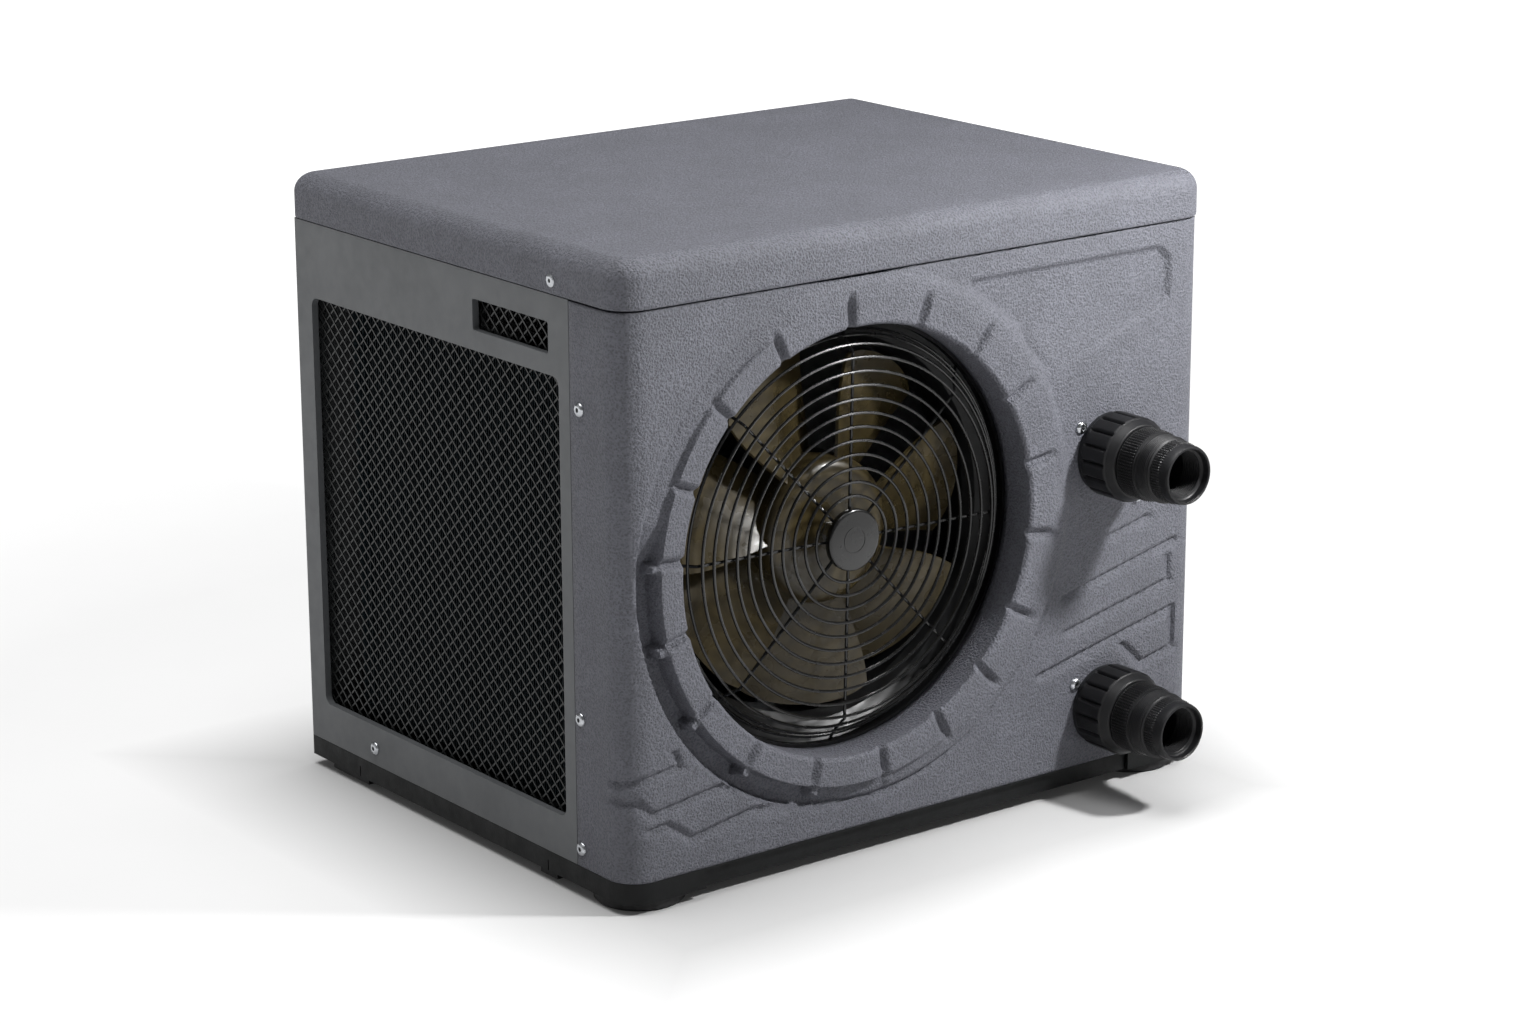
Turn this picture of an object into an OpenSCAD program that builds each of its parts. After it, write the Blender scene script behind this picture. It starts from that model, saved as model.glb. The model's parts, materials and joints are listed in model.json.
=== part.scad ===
// Compact swimming-pool heat pump: a moulded front with an axial fan outlet,
// an L-shaped evaporator behind two mesh intakes, a hermetic compressor, and a
// coil-in-shell water heat exchanger with two hose unions on the front.
// Millimetres. +Z is up, the front faces -Y, and the floor is z = 0.

/* [Casing] */
// Width of the casing across the front
body_w = 460; // [452:2:480]
// Depth of the casing, front face to rear face
body_d = 360; // [356:2:380]
// Height of the front panel, base to lid
panel_h = 349; // [346:1:360]
// Height of the lid
lid_h = 30; // [26:1:34]
// Radius of the upright front corners
corner_r = 19; // [16:1:22]
// Bend radius of the upright rear corners
rear_r = 3; // [2.5:0.5:5]
// Radius along the lid's upper edges
lid_edge_r = 13; // [8:1:14]
// Distance that the lid stands out past the casing
lid_overhang = 1; // [0.5:0.5:2]
// Wall thickness of the moulded front and lid
shell_t = 3; // [2.5:0.5:3]
// Thickness of the sheet-metal panels
sheet_t = 1.2; // [1:0.1:1.5]
// Depth of the moulded front's side returns
return_d = 51.5; // [48:0.5:54]

/* [Base] */
// Height of the base pan's outer skirt
base_h = 13; // [12:1:16]
// Height of the rubber feet
foot_h = 7; // [5:1:10]
// Radius of the rubber feet
foot_r = 28; // [24:1:29]

/* [Fan] */
// Distance of the fan axis to the left of the casing's middle
fan_offset = 52; // [48:1:54]
// Height of the fan axis above the base
fan_rise = 182; // [178:1:186]
// Radius of the round opening in the front
opening_r = 135; // [133:1:137]
// Radius of the fan's blade tips
blade_tip_r = 114; // [105:1:115]
// Radius of the fan's hub
hub_r = 47; // [40:1:48]
// Number of fan blades
blade_count = 7; // [5:1:9]
// Pitch angle of the blades
blade_pitch = 30; // [20:1:34]

/* [Ornament ring] */
// Number of raised blocks round the opening
block_count = 18; // [12:1:24]
// Outer radius of the raised blocks
block_r = 153; // [151:1:154]
// Height of the blocks above the front face
block_rise = 3; // [1:0.5:3]

/* [Water connections] */
// Distance of the unions to the right of the casing's middle
union_x = 149; // [146:1:150]
// Height of the lower union above the base
union_low = 37.5; // [37:0.5:40]
// Height of the upper union above the base
union_high = 206; // [200:1:210]
// Radius of the union thread
thread_r = 23.9; // [23:0.1:24]
// Outer radius of the hose tail's free end
tail_r = 19; // [18:0.5:19.5]
// Bore radius of the hose tails
tail_bore_r = 14.5; // [12:0.5:15]
// Distance from the front face to the free end of a hose tail
tail_reach = 74; // [70:1:80]

/* [Cable entry] */
// Radius of the cable that the gland clamps
cable_r = 4.5; // [4:0.25:5]
// Distance that the gland stands out behind the rear panel
gland_reach = 16; // [15:1:18]

/* [Hidden] */
$fn = 96;

eps = 0.01;
gap = 0.3;

// Overall box: the hose tails lead at the front and the gland trails behind.
total_d = tail_reach + body_d + gland_reach;
front_y = -total_d / 2 + tail_reach;
back_y = front_y + body_d;
half_w = body_w / 2;
base_z = foot_h + base_h;
seam_z = base_z + panel_h;
top_z = seam_z + lid_h;
floor_t = 3;
upstand_h = 17;
upstand_in = 5.5;
side_y0 = front_y + return_d + 0.5;
rear_lap = 14;

// Fan group
fan_x = -fan_offset;
fan_z = base_z + fan_rise;
flange_d = 24;
shroud_r = 133;
throat_r = 118;
guard_front = 7;
guard_wire = 2.4;
guard_ring_r = concat([for (k = [0:10]) 27 + 8.6 * k], [120, 125, 128]);
guard_flat_r = 114.5;
guard_spokes = 8;
rotor_front = 31;
rotor_back = 69;
blade_t = 2.2;
shaft_r = 4;
shaft_clear = 0.05;
motor_front = 76;
motor_back = 136;
motor_r = 44;

// Ornament on the front face
groove_w = 9;
groove_d = 1.5;
notch_w = 6;
notch_swirl = 2;
notch_start = 93.5;
outer_arc_r = 170;
recess_d = 1.5;

// Water connections, measured forward from the front face
thread_from = 2.4;
thread_to = 20;
gasket_t = 2.4;
flange_t = 2.8;
nut_from = 3;
nut_to = 25.5;
collar_to = 31;
nut_r = 27.5;
neck_r = 22;
port_r = 20;
port_bore_r = 16;
exchanger_y = front_y + 85;
exchanger_r = 44;
exchanger_wall = 4;
exchanger_top = 265;
port_low_z = base_z + union_low;
port_high_z = base_z + union_high;
switch_back = 22;
switch_boss_h = 34;
pivot_h = 27;
pivot_r = 1.5;

// Refrigeration
coil_depth = 22;
coil_x = -half_w + 12;
coil_back = back_y - 12;
coil_bend = 41;
coil_front = front_y + 66;
coil_end_x = 64;
coil_levels = 8;
coil_pitch = 34;
coil_low_z = 62;
fin_t = 0.8;
fin_step = 10;
fin_z0 = 46;
fin_h = 274;
tube_r = 4.75;
partition_x = 97;
comp_x = 160;
comp_y = back_y - 75;
comp_r = 48;
comp_foot_r = 54;
comp_z = base_z + 14;
comp_h = 190;
accu_x = 132;
accu_y = back_y - 157;
accu_r = 24;
drier_x = partition_x + 90;
drier_y = front_y + 160;
drier_z = 131;

// Control gear
box_z = 288;
box_h = 62;
box_w = 122;
box_d = 228;
box_y = front_y + 72;
bezel_y = front_y + 145;
bezel_z = 215;
bezel_w = 84;
bezel_h = 54;
button_r = 4.5;
button_clear = 0.06;
gland_x = 160;
gland_z = 322;

function unit(v) = v / norm(v);
// Depth of the guard's wires behind the front face: flat, then curving back
function guard_depth(r) = 11 + max(0, r - guard_flat_r);
function level_z(i) = coil_low_z + i * coil_pitch;

// ---------- shared shapes ----------

// A round rod between two points
module rod(a, b, r) {
    d = b - a;
    translate(a) rotate([0, acos(d[2] / norm(d)), atan2(d[1], d[0])]) cylinder(h = norm(d), r = r);
}

// A square bend at corner p, from direction d1 to direction d2
module elbow(p, d1, d2, r, bend) {
    c = p - d1 * bend + d2 * bend;
    n = cross(-d2, d1);
    multmatrix([[-d2[0], d1[0], n[0], c[0]], [-d2[1], d1[1], n[1], c[1]], [-d2[2], d1[2], n[2], c[2]]])
        rotate_extrude(angle = 90) translate([bend, 0]) circle(r = r, $fn = 32);
}

// A pipe through square corners, with a bend at each inner corner
module pipe_run(points, r, bend) {
    last = len(points) - 1;
    for (i = [0:last - 1]) {
        d = unit(points[i + 1] - points[i]);
        a = i == 0 ? points[i] : points[i] + d * bend;
        b = i == last - 1 ? points[i + 1] : points[i + 1] - d * bend;
        rod(a, b, r, $fn = 32);
    }
    for (i = [1:1:last - 1])
        elbow(points[i], unit(points[i] - points[i - 1]), unit(points[i + 1] - points[i]), r, bend);
}

// A cylinder that points forward (-Y) from y, of length h
module forward(x, y, z, h, r) {
    translate([x, y, z]) rotate([90, 0, 0]) cylinder(h = h, r = r);
}

// A profile of [radius, distance forward] points turned about a forward axis
module forward_turned(x, z, profile) {
    translate([x, front_y, z]) rotate([90, 0, 0]) rotate_extrude() polygon(profile);
}

// A rectangle from [0, 0] with its two upper corners rounded
module round_top(w, h, r) {
    square([w, h - r]);
    translate([r, 0]) square([w - 2 * r, h]);
    for (x = [r, w - r]) translate([x, h - r]) circle(r = r);
}

// A rectangle with all four corners rounded
module round_rect(x0, y0, w, d, r, rear) {
    translate([x0, y0 + r]) square([w, d - r - rear]);
    translate([x0 + r, y0]) square([w - 2 * r, r + 1]);
    translate([x0 + rear, y0 + d - rear - 1]) square([w - 2 * rear, rear + 1]);
    for (x = [x0 + r, x0 + w - r]) translate([x, y0 + r]) circle(r = r);
    for (x = [x0 + rear, x0 + w - rear]) translate([x, y0 + d - rear]) circle(r = rear);
}

// A diamond-hole screen in the XY plane: a plain margin round a lattice
module diamond_screen(w, h, t, pitch, strand, margin) {
    nx = floor((w - 2 * margin) / pitch);
    ny = floor((h - 2 * margin) / pitch);
    ox = (w - nx * pitch) / 2;
    oy = (h - ny * pitch) / 2;
    side = pitch / sqrt(2) - strand;
    linear_extrude(t) difference() {
        square([w, h]);
        for (i = [0:nx - 1], j = [0:ny - 1])
            translate([ox + (i + 0.5) * pitch, oy + (j + 0.5) * pitch]) rotate(45)
                square(side, center = true);
        for (i = [1:nx - 1], j = [1:ny - 1])
            translate([ox + i * pitch, oy + j * pitch]) rotate(45) square(side, center = true);
    }
}

// ---------- base ----------

// The casing's plan shape, offset inwards
module inset_outline(inset) {
    round_rect(-half_w + inset, front_y + inset, body_w - 2 * inset, body_d - 2 * inset,
        corner_r - inset, max(rear_r - inset, 1));
}

module base_pan() {
    skirt = 3;
    block = 58;
    setback = 3;
    tab_drop = 4;
    tabs = [[back_y - 68, 43], [front_y + 76, 18]];
    color("#202122") difference() {
        union() {
            for (sx = [-1, 1], t = tabs)
                translate([sx * (half_w - 4) - 2.5, t[0], foot_h - tab_drop]) cube([5, t[1], tab_drop + eps]);
            translate([0, 0, foot_h]) linear_extrude(base_h) inset_outline(0);
            translate([0, 0, base_z - eps]) linear_extrude(upstand_h) difference() {
                inset_outline(upstand_in);
                inset_outline(upstand_in + 1.5);
            }
        }
        difference() {
            translate([-half_w + skirt, front_y + skirt + setback, foot_h - 1])
                cube([body_w - 2 * skirt, body_d - 2 * skirt - setback, base_h - floor_t + 1]);
            for (sx = [-1, 1], y = [front_y, back_y - block])
                translate([sx < 0 ? -half_w : half_w - block, y, foot_h]) cube([block, block, base_h]);
        }
        // the front skirt stands back between the corner blocks
        translate([-half_w + block, front_y - 1, foot_h - 1])
            cube([body_w - 2 * block, setback + 1, base_h + 1 - 1.2]);
        translate([-120, back_y - 60, 0]) cylinder(h = base_z + 1, r = 6);
        for (p = foot_places()) translate([p[0], p[1], foot_h - 1]) cylinder(h = 9, r = 5);
        // slits above the locating tabs
        for (sx = [-1, 1], t = tabs)
            translate([sx * half_w - 1.5, t[0] + 7, foot_h - tab_drop - 1]) cube([3, 1, tab_drop + 8]);
    }
}

function foot_places() = [for (sx = [-1, 1], y = [front_y + foot_r + 2, back_y - foot_r - 2])
    [sx * (half_w - foot_r - (y > 0 ? 8 : 2)), y]];

module rubber_feet() {
    color("#111112") for (p = foot_places()) translate([p[0], p[1], 0]) difference() {
        union() {
            rotate_extrude() polygon([[0, 0], [foot_r - 1.5, 0], [foot_r, 1.5], [foot_r, foot_h], [0, foot_h]]);
            translate([0, 0, foot_h - eps]) cylinder(h = 7, r = 4.9);
        }
        translate([0, 0, -1]) cylinder(h = 4, r = 8);
    }
}

// ---------- casing ----------

module ring_notch(a) {
    translate([fan_x, 0, fan_z]) rotate([0, -a, 0]) translate([opening_r + 8, 0, 0])
        rotate([0, -notch_swirl, 0]) translate([-13, front_y - 10, -notch_w / 2]) cube([26, 10, notch_w]);
}

module groove_bar(x, z, len, angle, w = 5) {
    translate([x, front_y - 1, base_z + z]) rotate([0, -angle, 0]) translate([0, 0, -w / 2])
        cube([len, 1 + groove_d, w]);
}

// The front's plan shape, offset inwards, reaching back to depth d
module front_outline(inset, d) {
    r = corner_r - inset;
    translate([-half_w + corner_r, front_y + inset]) square([body_w - 2 * corner_r, d - inset]);
    translate([-half_w + inset, front_y + corner_r]) square([body_w - 2 * inset, d - corner_r]);
    for (s = [-1, 1]) translate([s * (half_w - corner_r), front_y + corner_r]) circle(r = r);
}

module front_panel() {
    color("#71737c") difference() {
        union() {
            difference() {
                translate([0, 0, base_z + gap]) linear_extrude(panel_h - 2 * gap) difference() {
                    front_outline(0, return_d);
                    front_outline(shell_t, return_d + 1);
                }
                // sunken ring round the blocks, and the arc outside it
                forward(fan_x, front_y + groove_d, fan_z, groove_d + 1, block_r + groove_w);
                for (bar = [[-226, 66, 36, 9], [-210, 45, 52, 8], [-181, 24, 48, 10], [-213, 46, 12, -40],
                            [-203, 36, 26, -32], [104, 115, 104, 12.5], [118, 92, 86, 12.5],
                            [96, 68, 112, 12.5], [182, 60, 28, 13]])
                    groove_bar(bar[0], bar[1], bar[2], bar[3]);
                for (bar = [[200, 112, 20], [209, 68, 34]]) groove_bar(bar[0], bar[1], bar[2], 90);
                // name-plate recess
                translate([0, front_y + recess_d, base_z]) rotate([90, 0, 0]) linear_extrude(recess_d + 1)
                    polygon([[31, 334], [191, 335], [200, 326], [200, 300], [194, 295], [96, 295], [75, 285],
                             [73, 297], [33, 327]]);
            }
            // rolled-in wall of the fan opening
            forward(fan_x, front_y + flange_d, fan_z, flange_d, opening_r + shell_t);
            difference() {
                forward(fan_x, front_y + shell_t, fan_z, shell_t + block_rise, block_r);
                for (k = [0:block_count - 1]) ring_notch(notch_start - k * 360 / block_count);
            }
        }
        forward(fan_x, front_y + flange_d + 1, fan_z, flange_d + block_rise + 2, opening_r);
        for (z = [port_low_z, port_high_z]) forward(union_x, front_y + shell_t + 1, z, shell_t + 2, port_r + 1);
    }
}

module panel_return(y, z, w, h, depth, r) {
    translate([-half_w, y, z]) rotate([90, 0, 90]) linear_extrude(depth) difference() {
        round_rect(-sheet_t, -sheet_t, w + 2 * sheet_t, h + 2 * sheet_t, r + sheet_t, r + sheet_t);
        round_rect(0, 0, w, h, r, r);
    }
}

// A side sheet's plan shape: flat along the left side, then round the rear corner
module side_wrap() {
    intersection() {
        difference() {
            inset_outline(0);
            inset_outline(sheet_t);
        }
        translate([-half_w, side_y0]) square([corner_r + rear_lap, back_y - side_y0]);
    }
}

module left_side_panel() {
    y0 = side_y0;
    lap = 22;
    open = [front_y + 63, 47, 277, 273, 6];
    slot = [front_y + 73, 332.5, 80, 19.5, 1.5];
    color("#5b5d60") {
        difference() {
            translate([0, 0, base_z + gap]) linear_extrude(panel_h - 2 * gap) side_wrap();
            for (o = [open, slot]) translate([-half_w - 1, o[0], o[1]]) rotate([90, 0, 90])
                linear_extrude(sheet_t + 2) round_rect(0, 0, o[2], o[3], o[4], o[4]);
        }
        for (o = [open, slot]) panel_return(o[0], o[1], o[2], o[3], 4.5, o[4]);
        // joggled lap behind the moulded return
        translate([-half_w, y0, base_z + gap]) cube([4.8, sheet_t, panel_h - 2 * gap]);
        translate([-half_w + 3.6, y0 - lap, base_z + gap]) cube([sheet_t, lap + sheet_t, panel_h - 2 * gap]);
    }
}

module right_side_panel() {
    y0 = side_y0;
    lap = 22;
    color("#5b5d60") {
        difference() {
            translate([0, 0, base_z + gap]) linear_extrude(panel_h - 2 * gap) mirror([1, 0]) side_wrap();
            translate([half_w - sheet_t - 1, bezel_y + 2, bezel_z + 2])
                cube([sheet_t + 2, bezel_w - 4, bezel_h - 4]);
        }
        translate([half_w - 4.8, y0, base_z + gap]) cube([4.8, sheet_t, panel_h - 2 * gap]);
        translate([half_w - 4.8, y0 - lap, base_z + gap]) cube([sheet_t, lap + sheet_t, panel_h - 2 * gap]);
    }
}

module rear_panel() {
    w = body_w - 2 * corner_r - 4;
    y = back_y - sheet_t - 0.1;
    color("#5b5d60") difference() {
        union() {
            translate([-w / 2, y - sheet_t, base_z + gap]) cube([w, sheet_t, panel_h - 2 * gap]);
            translate([-160, y - 5, 47]) cube([220, 5, 273]);
        }
        translate([-160 + sheet_t, y - 6, 47 + sheet_t]) cube([220 - 2 * sheet_t, 7, 273 - 2 * sheet_t]);
        translate([gland_x, back_y + 1, gland_z]) rotate([90, 0, 0]) cylinder(h = 6, r = 8.05);
    }
}

module top_lid() {
    w = body_w + 2 * lid_overhang;
    d = body_d + 2 * lid_overhang;
    wall = 2 * shell_t;
    color("#77787f") translate([-w / 2, front_y - lid_overhang, seam_z]) difference() {
        intersection() {
            linear_extrude(lid_h) round_rect(0, 0, w, d, corner_r + lid_overhang, rear_r + 5);
            rotate([90, 0, 90]) linear_extrude(w) round_top(d, lid_h, lid_edge_r);
            translate([0, d, 0]) rotate([90, 0, 0]) linear_extrude(d) round_top(w, lid_h, lid_edge_r);
        }
        translate([wall, wall, -1]) cube([w - 2 * wall, d - 2 * wall, lid_h - shell_t + 1]);
    }
}

module partition_plate() {
    y0 = front_y + 8;
    color("#9da0a3") difference() {
        union() {
            translate([partition_x, y0, base_z]) cube([sheet_t, back_y - 8 - y0, panel_h - 4]);
            translate([partition_x - 10, y0, base_z]) cube([10, back_y - 8 - y0, sheet_t]);
            translate([partition_x - 10, y0, base_z + 30]) cube([10 + sheet_t, sheet_t, panel_h - 60]);
        }
        for (i = [0, coil_levels - 1])
            translate([partition_x - 1, coil_back - coil_depth / 2, level_z(i)]) rotate([0, 90, 0])
                cylinder(h = sheet_t + 2, r = 9);
        translate([partition_x - 1, front_y + 150, 300]) rotate([0, 90, 0]) cylinder(h = sheet_t + 2, r = 7);
    }
}

module top_rail() {
    x0 = -half_w + 8;
    y0 = front_y + motor_back + 2.5;
    color("#9da0a3") {
        translate([x0, y0, seam_z - 20]) cube([partition_x - x0, 1.5, 16]);
        translate([x0, y0, seam_z - 5.5]) cube([partition_x - x0, 18, 1.5]);
    }
}

module left_intake_mesh() {
    color("#262729") translate([-half_w + 5, front_y + 57, 40]) rotate([90, 0, 90])
        diamond_screen(289, 318, 1.5, 30, 3, 6);
}

module rear_intake_mesh() {
    color("#262729") translate([66, back_y - 6.6, 40]) rotate([90, 0, 0]) mirror([1, 0, 0])
        diamond_screen(232, 287, 1.5, 30, 3, 6);
}

// ---------- fan ----------

module fan_shroud() {
    color("#17181a") {
        forward_turned(fan_x, fan_z, [[opening_r + 6, -flange_d - 0.2], [shroud_r, -flange_d - 0.2],
            [shroud_r, -30], [throat_r + 4, -38], [throat_r, -46], [throat_r, -70], [throat_r + 2.5, -70],
            [throat_r + 2.5, -46], [throat_r + 6, -40], [shroud_r + 2.5, -33],
            [shroud_r + 2.5, -flange_d - 3], [opening_r + 6, -flange_d - 3]]);
    }
}

module fan_guard() {
    half = guard_wire / 2;
    color("#141415") {
        for (k = [0:len(guard_ring_r) - 1])
            translate([fan_x, front_y + guard_depth(guard_ring_r[k]) - half, fan_z]) rotate([-90, 0, 0])
                rotate_extrude() translate([guard_ring_r[k] - half, 0]) square(guard_wire);
        for (k = [0:guard_spokes - 1])
            translate([fan_x, front_y, fan_z]) rotate([0, -k * 360 / guard_spokes, 0])
                translate([0, 0, -half]) linear_extrude(guard_wire)
                    polygon([[15, 11.6], [guard_flat_r, 11.6], [129, 26], [132.8, 26], [132.8, 28.4],
                             [127.5, 28.4], [guard_flat_r - 1.5, 14], [15, 14]]);
        forward(fan_x, front_y + guard_front + 5, fan_z, 5, 19.5);
    }
}

module fan_blade() {
    // outline in the plane of the radius (x) and the chord (y)
    outline = [[hub_r - 4, -20], [hub_r + 20, -25], [blade_tip_r - 14, -33], [blade_tip_r - 3, -30],
               [blade_tip_r, -20], [blade_tip_r, 22], [blade_tip_r - 6, 28], [hub_r + 20, 21], [hub_r - 4, 16]];
    rotate([90 - blade_pitch, 0, 0]) translate([0, 0, -blade_t / 2]) linear_extrude(blade_t)
        polygon(outline);
}

module fan_rotor() {
    mid = (rotor_front + rotor_back) / 2;
    color("#38342c") difference() {
        union() {
            forward_turned(fan_x, fan_z, [[0, -rotor_front], [hub_r - 8, -rotor_front],
                [hub_r, -rotor_front - 8], [hub_r, -rotor_back], [hub_r - 2.5, -rotor_back],
                [hub_r - 2.5, -rotor_front - 9], [hub_r - 9, -rotor_front - 2.5], [11, -rotor_front - 2.5],
                [11, -rotor_back + 4], [0, -rotor_back + 4]]);
            difference() {
                translate([fan_x, front_y + mid, fan_z])
                    for (k = [0:blade_count - 1]) rotate([0, -27 - k * 360 / blade_count, 0]) fan_blade();
                forward(fan_x, front_y + rotor_back + 10, fan_z, 60, hub_r - 1);
            }
        }
        forward(fan_x, front_y + rotor_back, fan_z, rotor_back, shaft_r);
    }
}

module fan_shaft() {
    color("#b9bcc0") forward(fan_x, front_y + motor_back - 4, fan_z, motor_back - 4 - 21, shaft_r);
}

module fan_hub_nut() {
    color("#c9cbce") difference() {
        translate([fan_x, front_y + rotor_front, fan_z]) rotate([90, 0, 0]) cylinder(h = 6, r = 7.5, $fn = 6);
        forward(fan_x, front_y + rotor_front + 1, fan_z, 8, shaft_r);
    }
}

module fan_motor() {
    color("#3a3c3f") difference() {
        union() {
            forward_turned(fan_x, fan_z, [[0, -motor_front], [16, -motor_front], [16, -motor_front - 4],
                [motor_r - 6, -motor_front - 4], [motor_r, -motor_front - 12], [motor_r, -motor_back + 8],
                [motor_r - 4, -motor_back], [0, -motor_back]]);
            forward(fan_x, front_y + 112, fan_z, 8, motor_r + 4);
        }
        forward(fan_x, front_y + motor_back - 3, fan_z, motor_back, shaft_r + shaft_clear);
    }
}

module fan_motor_bracket() {
    y = front_y + motor_back;
    color("#9da0a3") difference() {
        union() {
            for (s = [-1, 1]) translate([fan_x + s * 32 - 9, y, base_z]) cube([18, 2.5, panel_h - 10]);
            translate([fan_x - 48, y, fan_z - 45]) cube([96, 2.5, 90]);
            for (s = [-1, 1]) translate([fan_x + s * 32 - 9, y, base_z]) cube([18, 22, 2.5]);
        }
        for (sx = [-1, 1], sz = [-1, 1])
            forward(fan_x + sx * 28, y + 4, fan_z + sz * 28, 6, 2.6);
    }
}

// ---------- evaporator ----------

// One level of the coil: along the left side, round the corner, along the back
module coil_tube(z, r) {
    cx = coil_x + coil_depth / 2;
    cy = coil_back - coil_depth / 2;
    translate([cx, coil_front - 4, z]) rotate([-90, 0, 0])
        cylinder(h = cy - coil_bend - coil_front + 4, r = r, $fn = 32);
    translate([cx + coil_bend, cy - coil_bend, z]) rotate([0, 0, 90]) rotate_extrude(angle = 90)
        translate([coil_bend, 0]) circle(r = r, $fn = 32);
    translate([cx + coil_bend, cy, z]) rotate([0, 90, 0])
        cylinder(h = coil_end_x + 4 - cx - coil_bend, r = r, $fn = 32);
}

module evaporator_tubes() {
    cx = coil_x + coil_depth / 2;
    cy = coil_back - coil_depth / 2;
    color("#b8734a") {
        for (i = [0:coil_levels - 1]) coil_tube(level_z(i), tube_r);
        for (i = [0:2:coil_levels - 2]) translate([cx, coil_front - 4, level_z(i) + coil_pitch / 2])
            rotate([0, 90, 180]) return_bend();
        for (i = [1:2:coil_levels - 3]) translate([coil_end_x + 4, cy, level_z(i) + coil_pitch / 2])
            rotate([0, 90, 90]) rotate([0, 0, 180]) return_bend();
    }
}

// A half turn between neighbouring levels
module return_bend() {
    rotate_extrude(angle = 180)
        translate([coil_pitch / 2, 0]) circle(r = tube_r, $fn = 32);
}

module evaporator_fins() {
    cx = coil_x + coil_depth / 2;
    cy = coil_back - coil_depth / 2;
    side_end = cy - coil_bend;
    back_start = cx + coil_bend;
    color("#a9adb0") difference() {
        union() {
            for (y = [coil_front + 4:fin_step:side_end])
                translate([coil_x, y, fin_z0]) cube([coil_depth, fin_t, fin_h]);
            for (x = [back_start:fin_step:coil_end_x - 6])
                translate([x, coil_back - coil_depth, fin_z0]) cube([fin_t, coil_depth, fin_h]);
            for (a = [12:12:78]) translate([back_start, side_end, fin_z0]) rotate([0, 0, 180 - a])
                translate([coil_bend - coil_depth / 2, 0, 0]) cube([coil_depth, fin_t, fin_h]);
        }
        for (i = [0:coil_levels - 1]) coil_tube(level_z(i), tube_r + 0.05);
    }
}

module evaporator_end_plates() {
    cy = coil_back - coil_depth / 2;
    color("#8f9396") difference() {
        union() {
            translate([coil_x - 2, coil_front, base_z]) cube([coil_depth + 4, 1.5, 325]);
            translate([coil_end_x - 1.5, coil_back - coil_depth - 2, base_z]) cube([1.5, coil_depth + 4, 325]);
        }
        for (i = [0:coil_levels - 1]) coil_tube(level_z(i), tube_r + 0.05);
    }
}

// ---------- refrigerant circuit ----------

module compressor() {
    dome = 26;
    color("#1b1c1e") {
        translate([comp_x, comp_y, comp_z]) rotate_extrude() polygon([[0, 0], [comp_r - 10, 0], [comp_r, 12],
            [comp_r, comp_h - dome], [comp_r - 8, comp_h - dome / 2.5], [comp_r - 24, comp_h - 3], [0, comp_h]]);
        difference() {
            for (a = [0:120:240]) translate([comp_x, comp_y, comp_z - 3]) rotate([0, 0, a + 30])
                translate([0, -12, 0]) cube([comp_foot_r + 10, 24, 3]);
            for (p = comp_feet()) translate([p[0], p[1], comp_z - 4]) cylinder(h = 5, r = 7);
        }
    }
}

function comp_feet() = [for (a = [0:120:240])
    [comp_x + comp_foot_r * cos(a + 30), comp_y + comp_foot_r * sin(a + 30)]];

module compressor_grommets() {
    color("#151515") for (p = comp_feet()) translate([p[0], p[1], base_z]) difference() {
        union() {
            cylinder(h = comp_z - 3 - base_z, r = 10);
            cylinder(h = comp_z + 2 - base_z, r = 6.9);
        }
        translate([0, 0, -1]) cylinder(h = 30, r = 3.5);
    }
}

module compressor_bolts() {
    color("#c2c5c8") for (p = comp_feet()) translate([p[0], p[1], base_z]) {
        cylinder(h = comp_z + 2 - base_z, r = 3.2);
        translate([0, 0, comp_z + 2.1 - base_z]) cylinder(h = 1.5, r = 9);
        translate([0, 0, comp_z + 3.6 - base_z]) cylinder(h = 5, r = 6, $fn = 6);
    }
}

module compressor_terminal_cover() {
    color("#0f1011") translate([comp_x - 10, comp_y - comp_r - 15, comp_z + 100]) cube([36, 15.5, 42]);
}

module suction_accumulator() {
    color("#1b1c1e") translate([accu_x, accu_y, 62]) rotate_extrude() polygon([[0, 0], [10, 0], [accu_r, 12],
        [accu_r, 118], [10, 132], [0, 132]]);
}

module suction_pipe() {
    z = level_z(coil_levels - 1);
    y = coil_back - coil_depth / 2;
    color("#b8734a") {
        pipe_run([[coil_end_x + 4.1, y, z], [accu_x - 15, y, z], [accu_x - 15, y, 262], [accu_x - 15, accu_y, 262],
                  [accu_x, accu_y, 262], [accu_x, accu_y, 194.1]], tube_r, 7);
        pipe_run([[accu_x, accu_y, 61.9], [accu_x, accu_y, 46], [accu_x + 40, accu_y, 46],
                  [accu_x + 40, accu_y, 96], [accu_x + 40, comp_y - comp_r + 1.4, 96]], tube_r, 7);
    }
}

module discharge_pipe() {
    color("#b8734a") pipe_run([[comp_x, comp_y, comp_z + comp_h + 0.1], [comp_x, comp_y, 272],
        [comp_x, exchanger_y + 16, 272], [comp_x, exchanger_y + 16, exchanger_top + 0.1 - 2]], 4, 6);
}

module liquid_pipe() {
    x = partition_x + 6.5;
    y = coil_back - coil_depth / 2;
    z = level_z(0);
    color("#b8734a") {
        pipe_run([[union_x, exchanger_y + exchanger_r + 0.1, 92], [union_x, drier_y, 92],
                  [drier_x, drier_y, 92], [drier_x, drier_y, drier_z - 0.1]], 3.5, 10);
        pipe_run([[coil_end_x + 4.1, y, z], [x, y, z], [x, drier_y, z], [x, drier_y, 246],
                  [drier_x, drier_y, 246], [drier_x, drier_y, 236]], 3.5, 8);
    }
}

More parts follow.
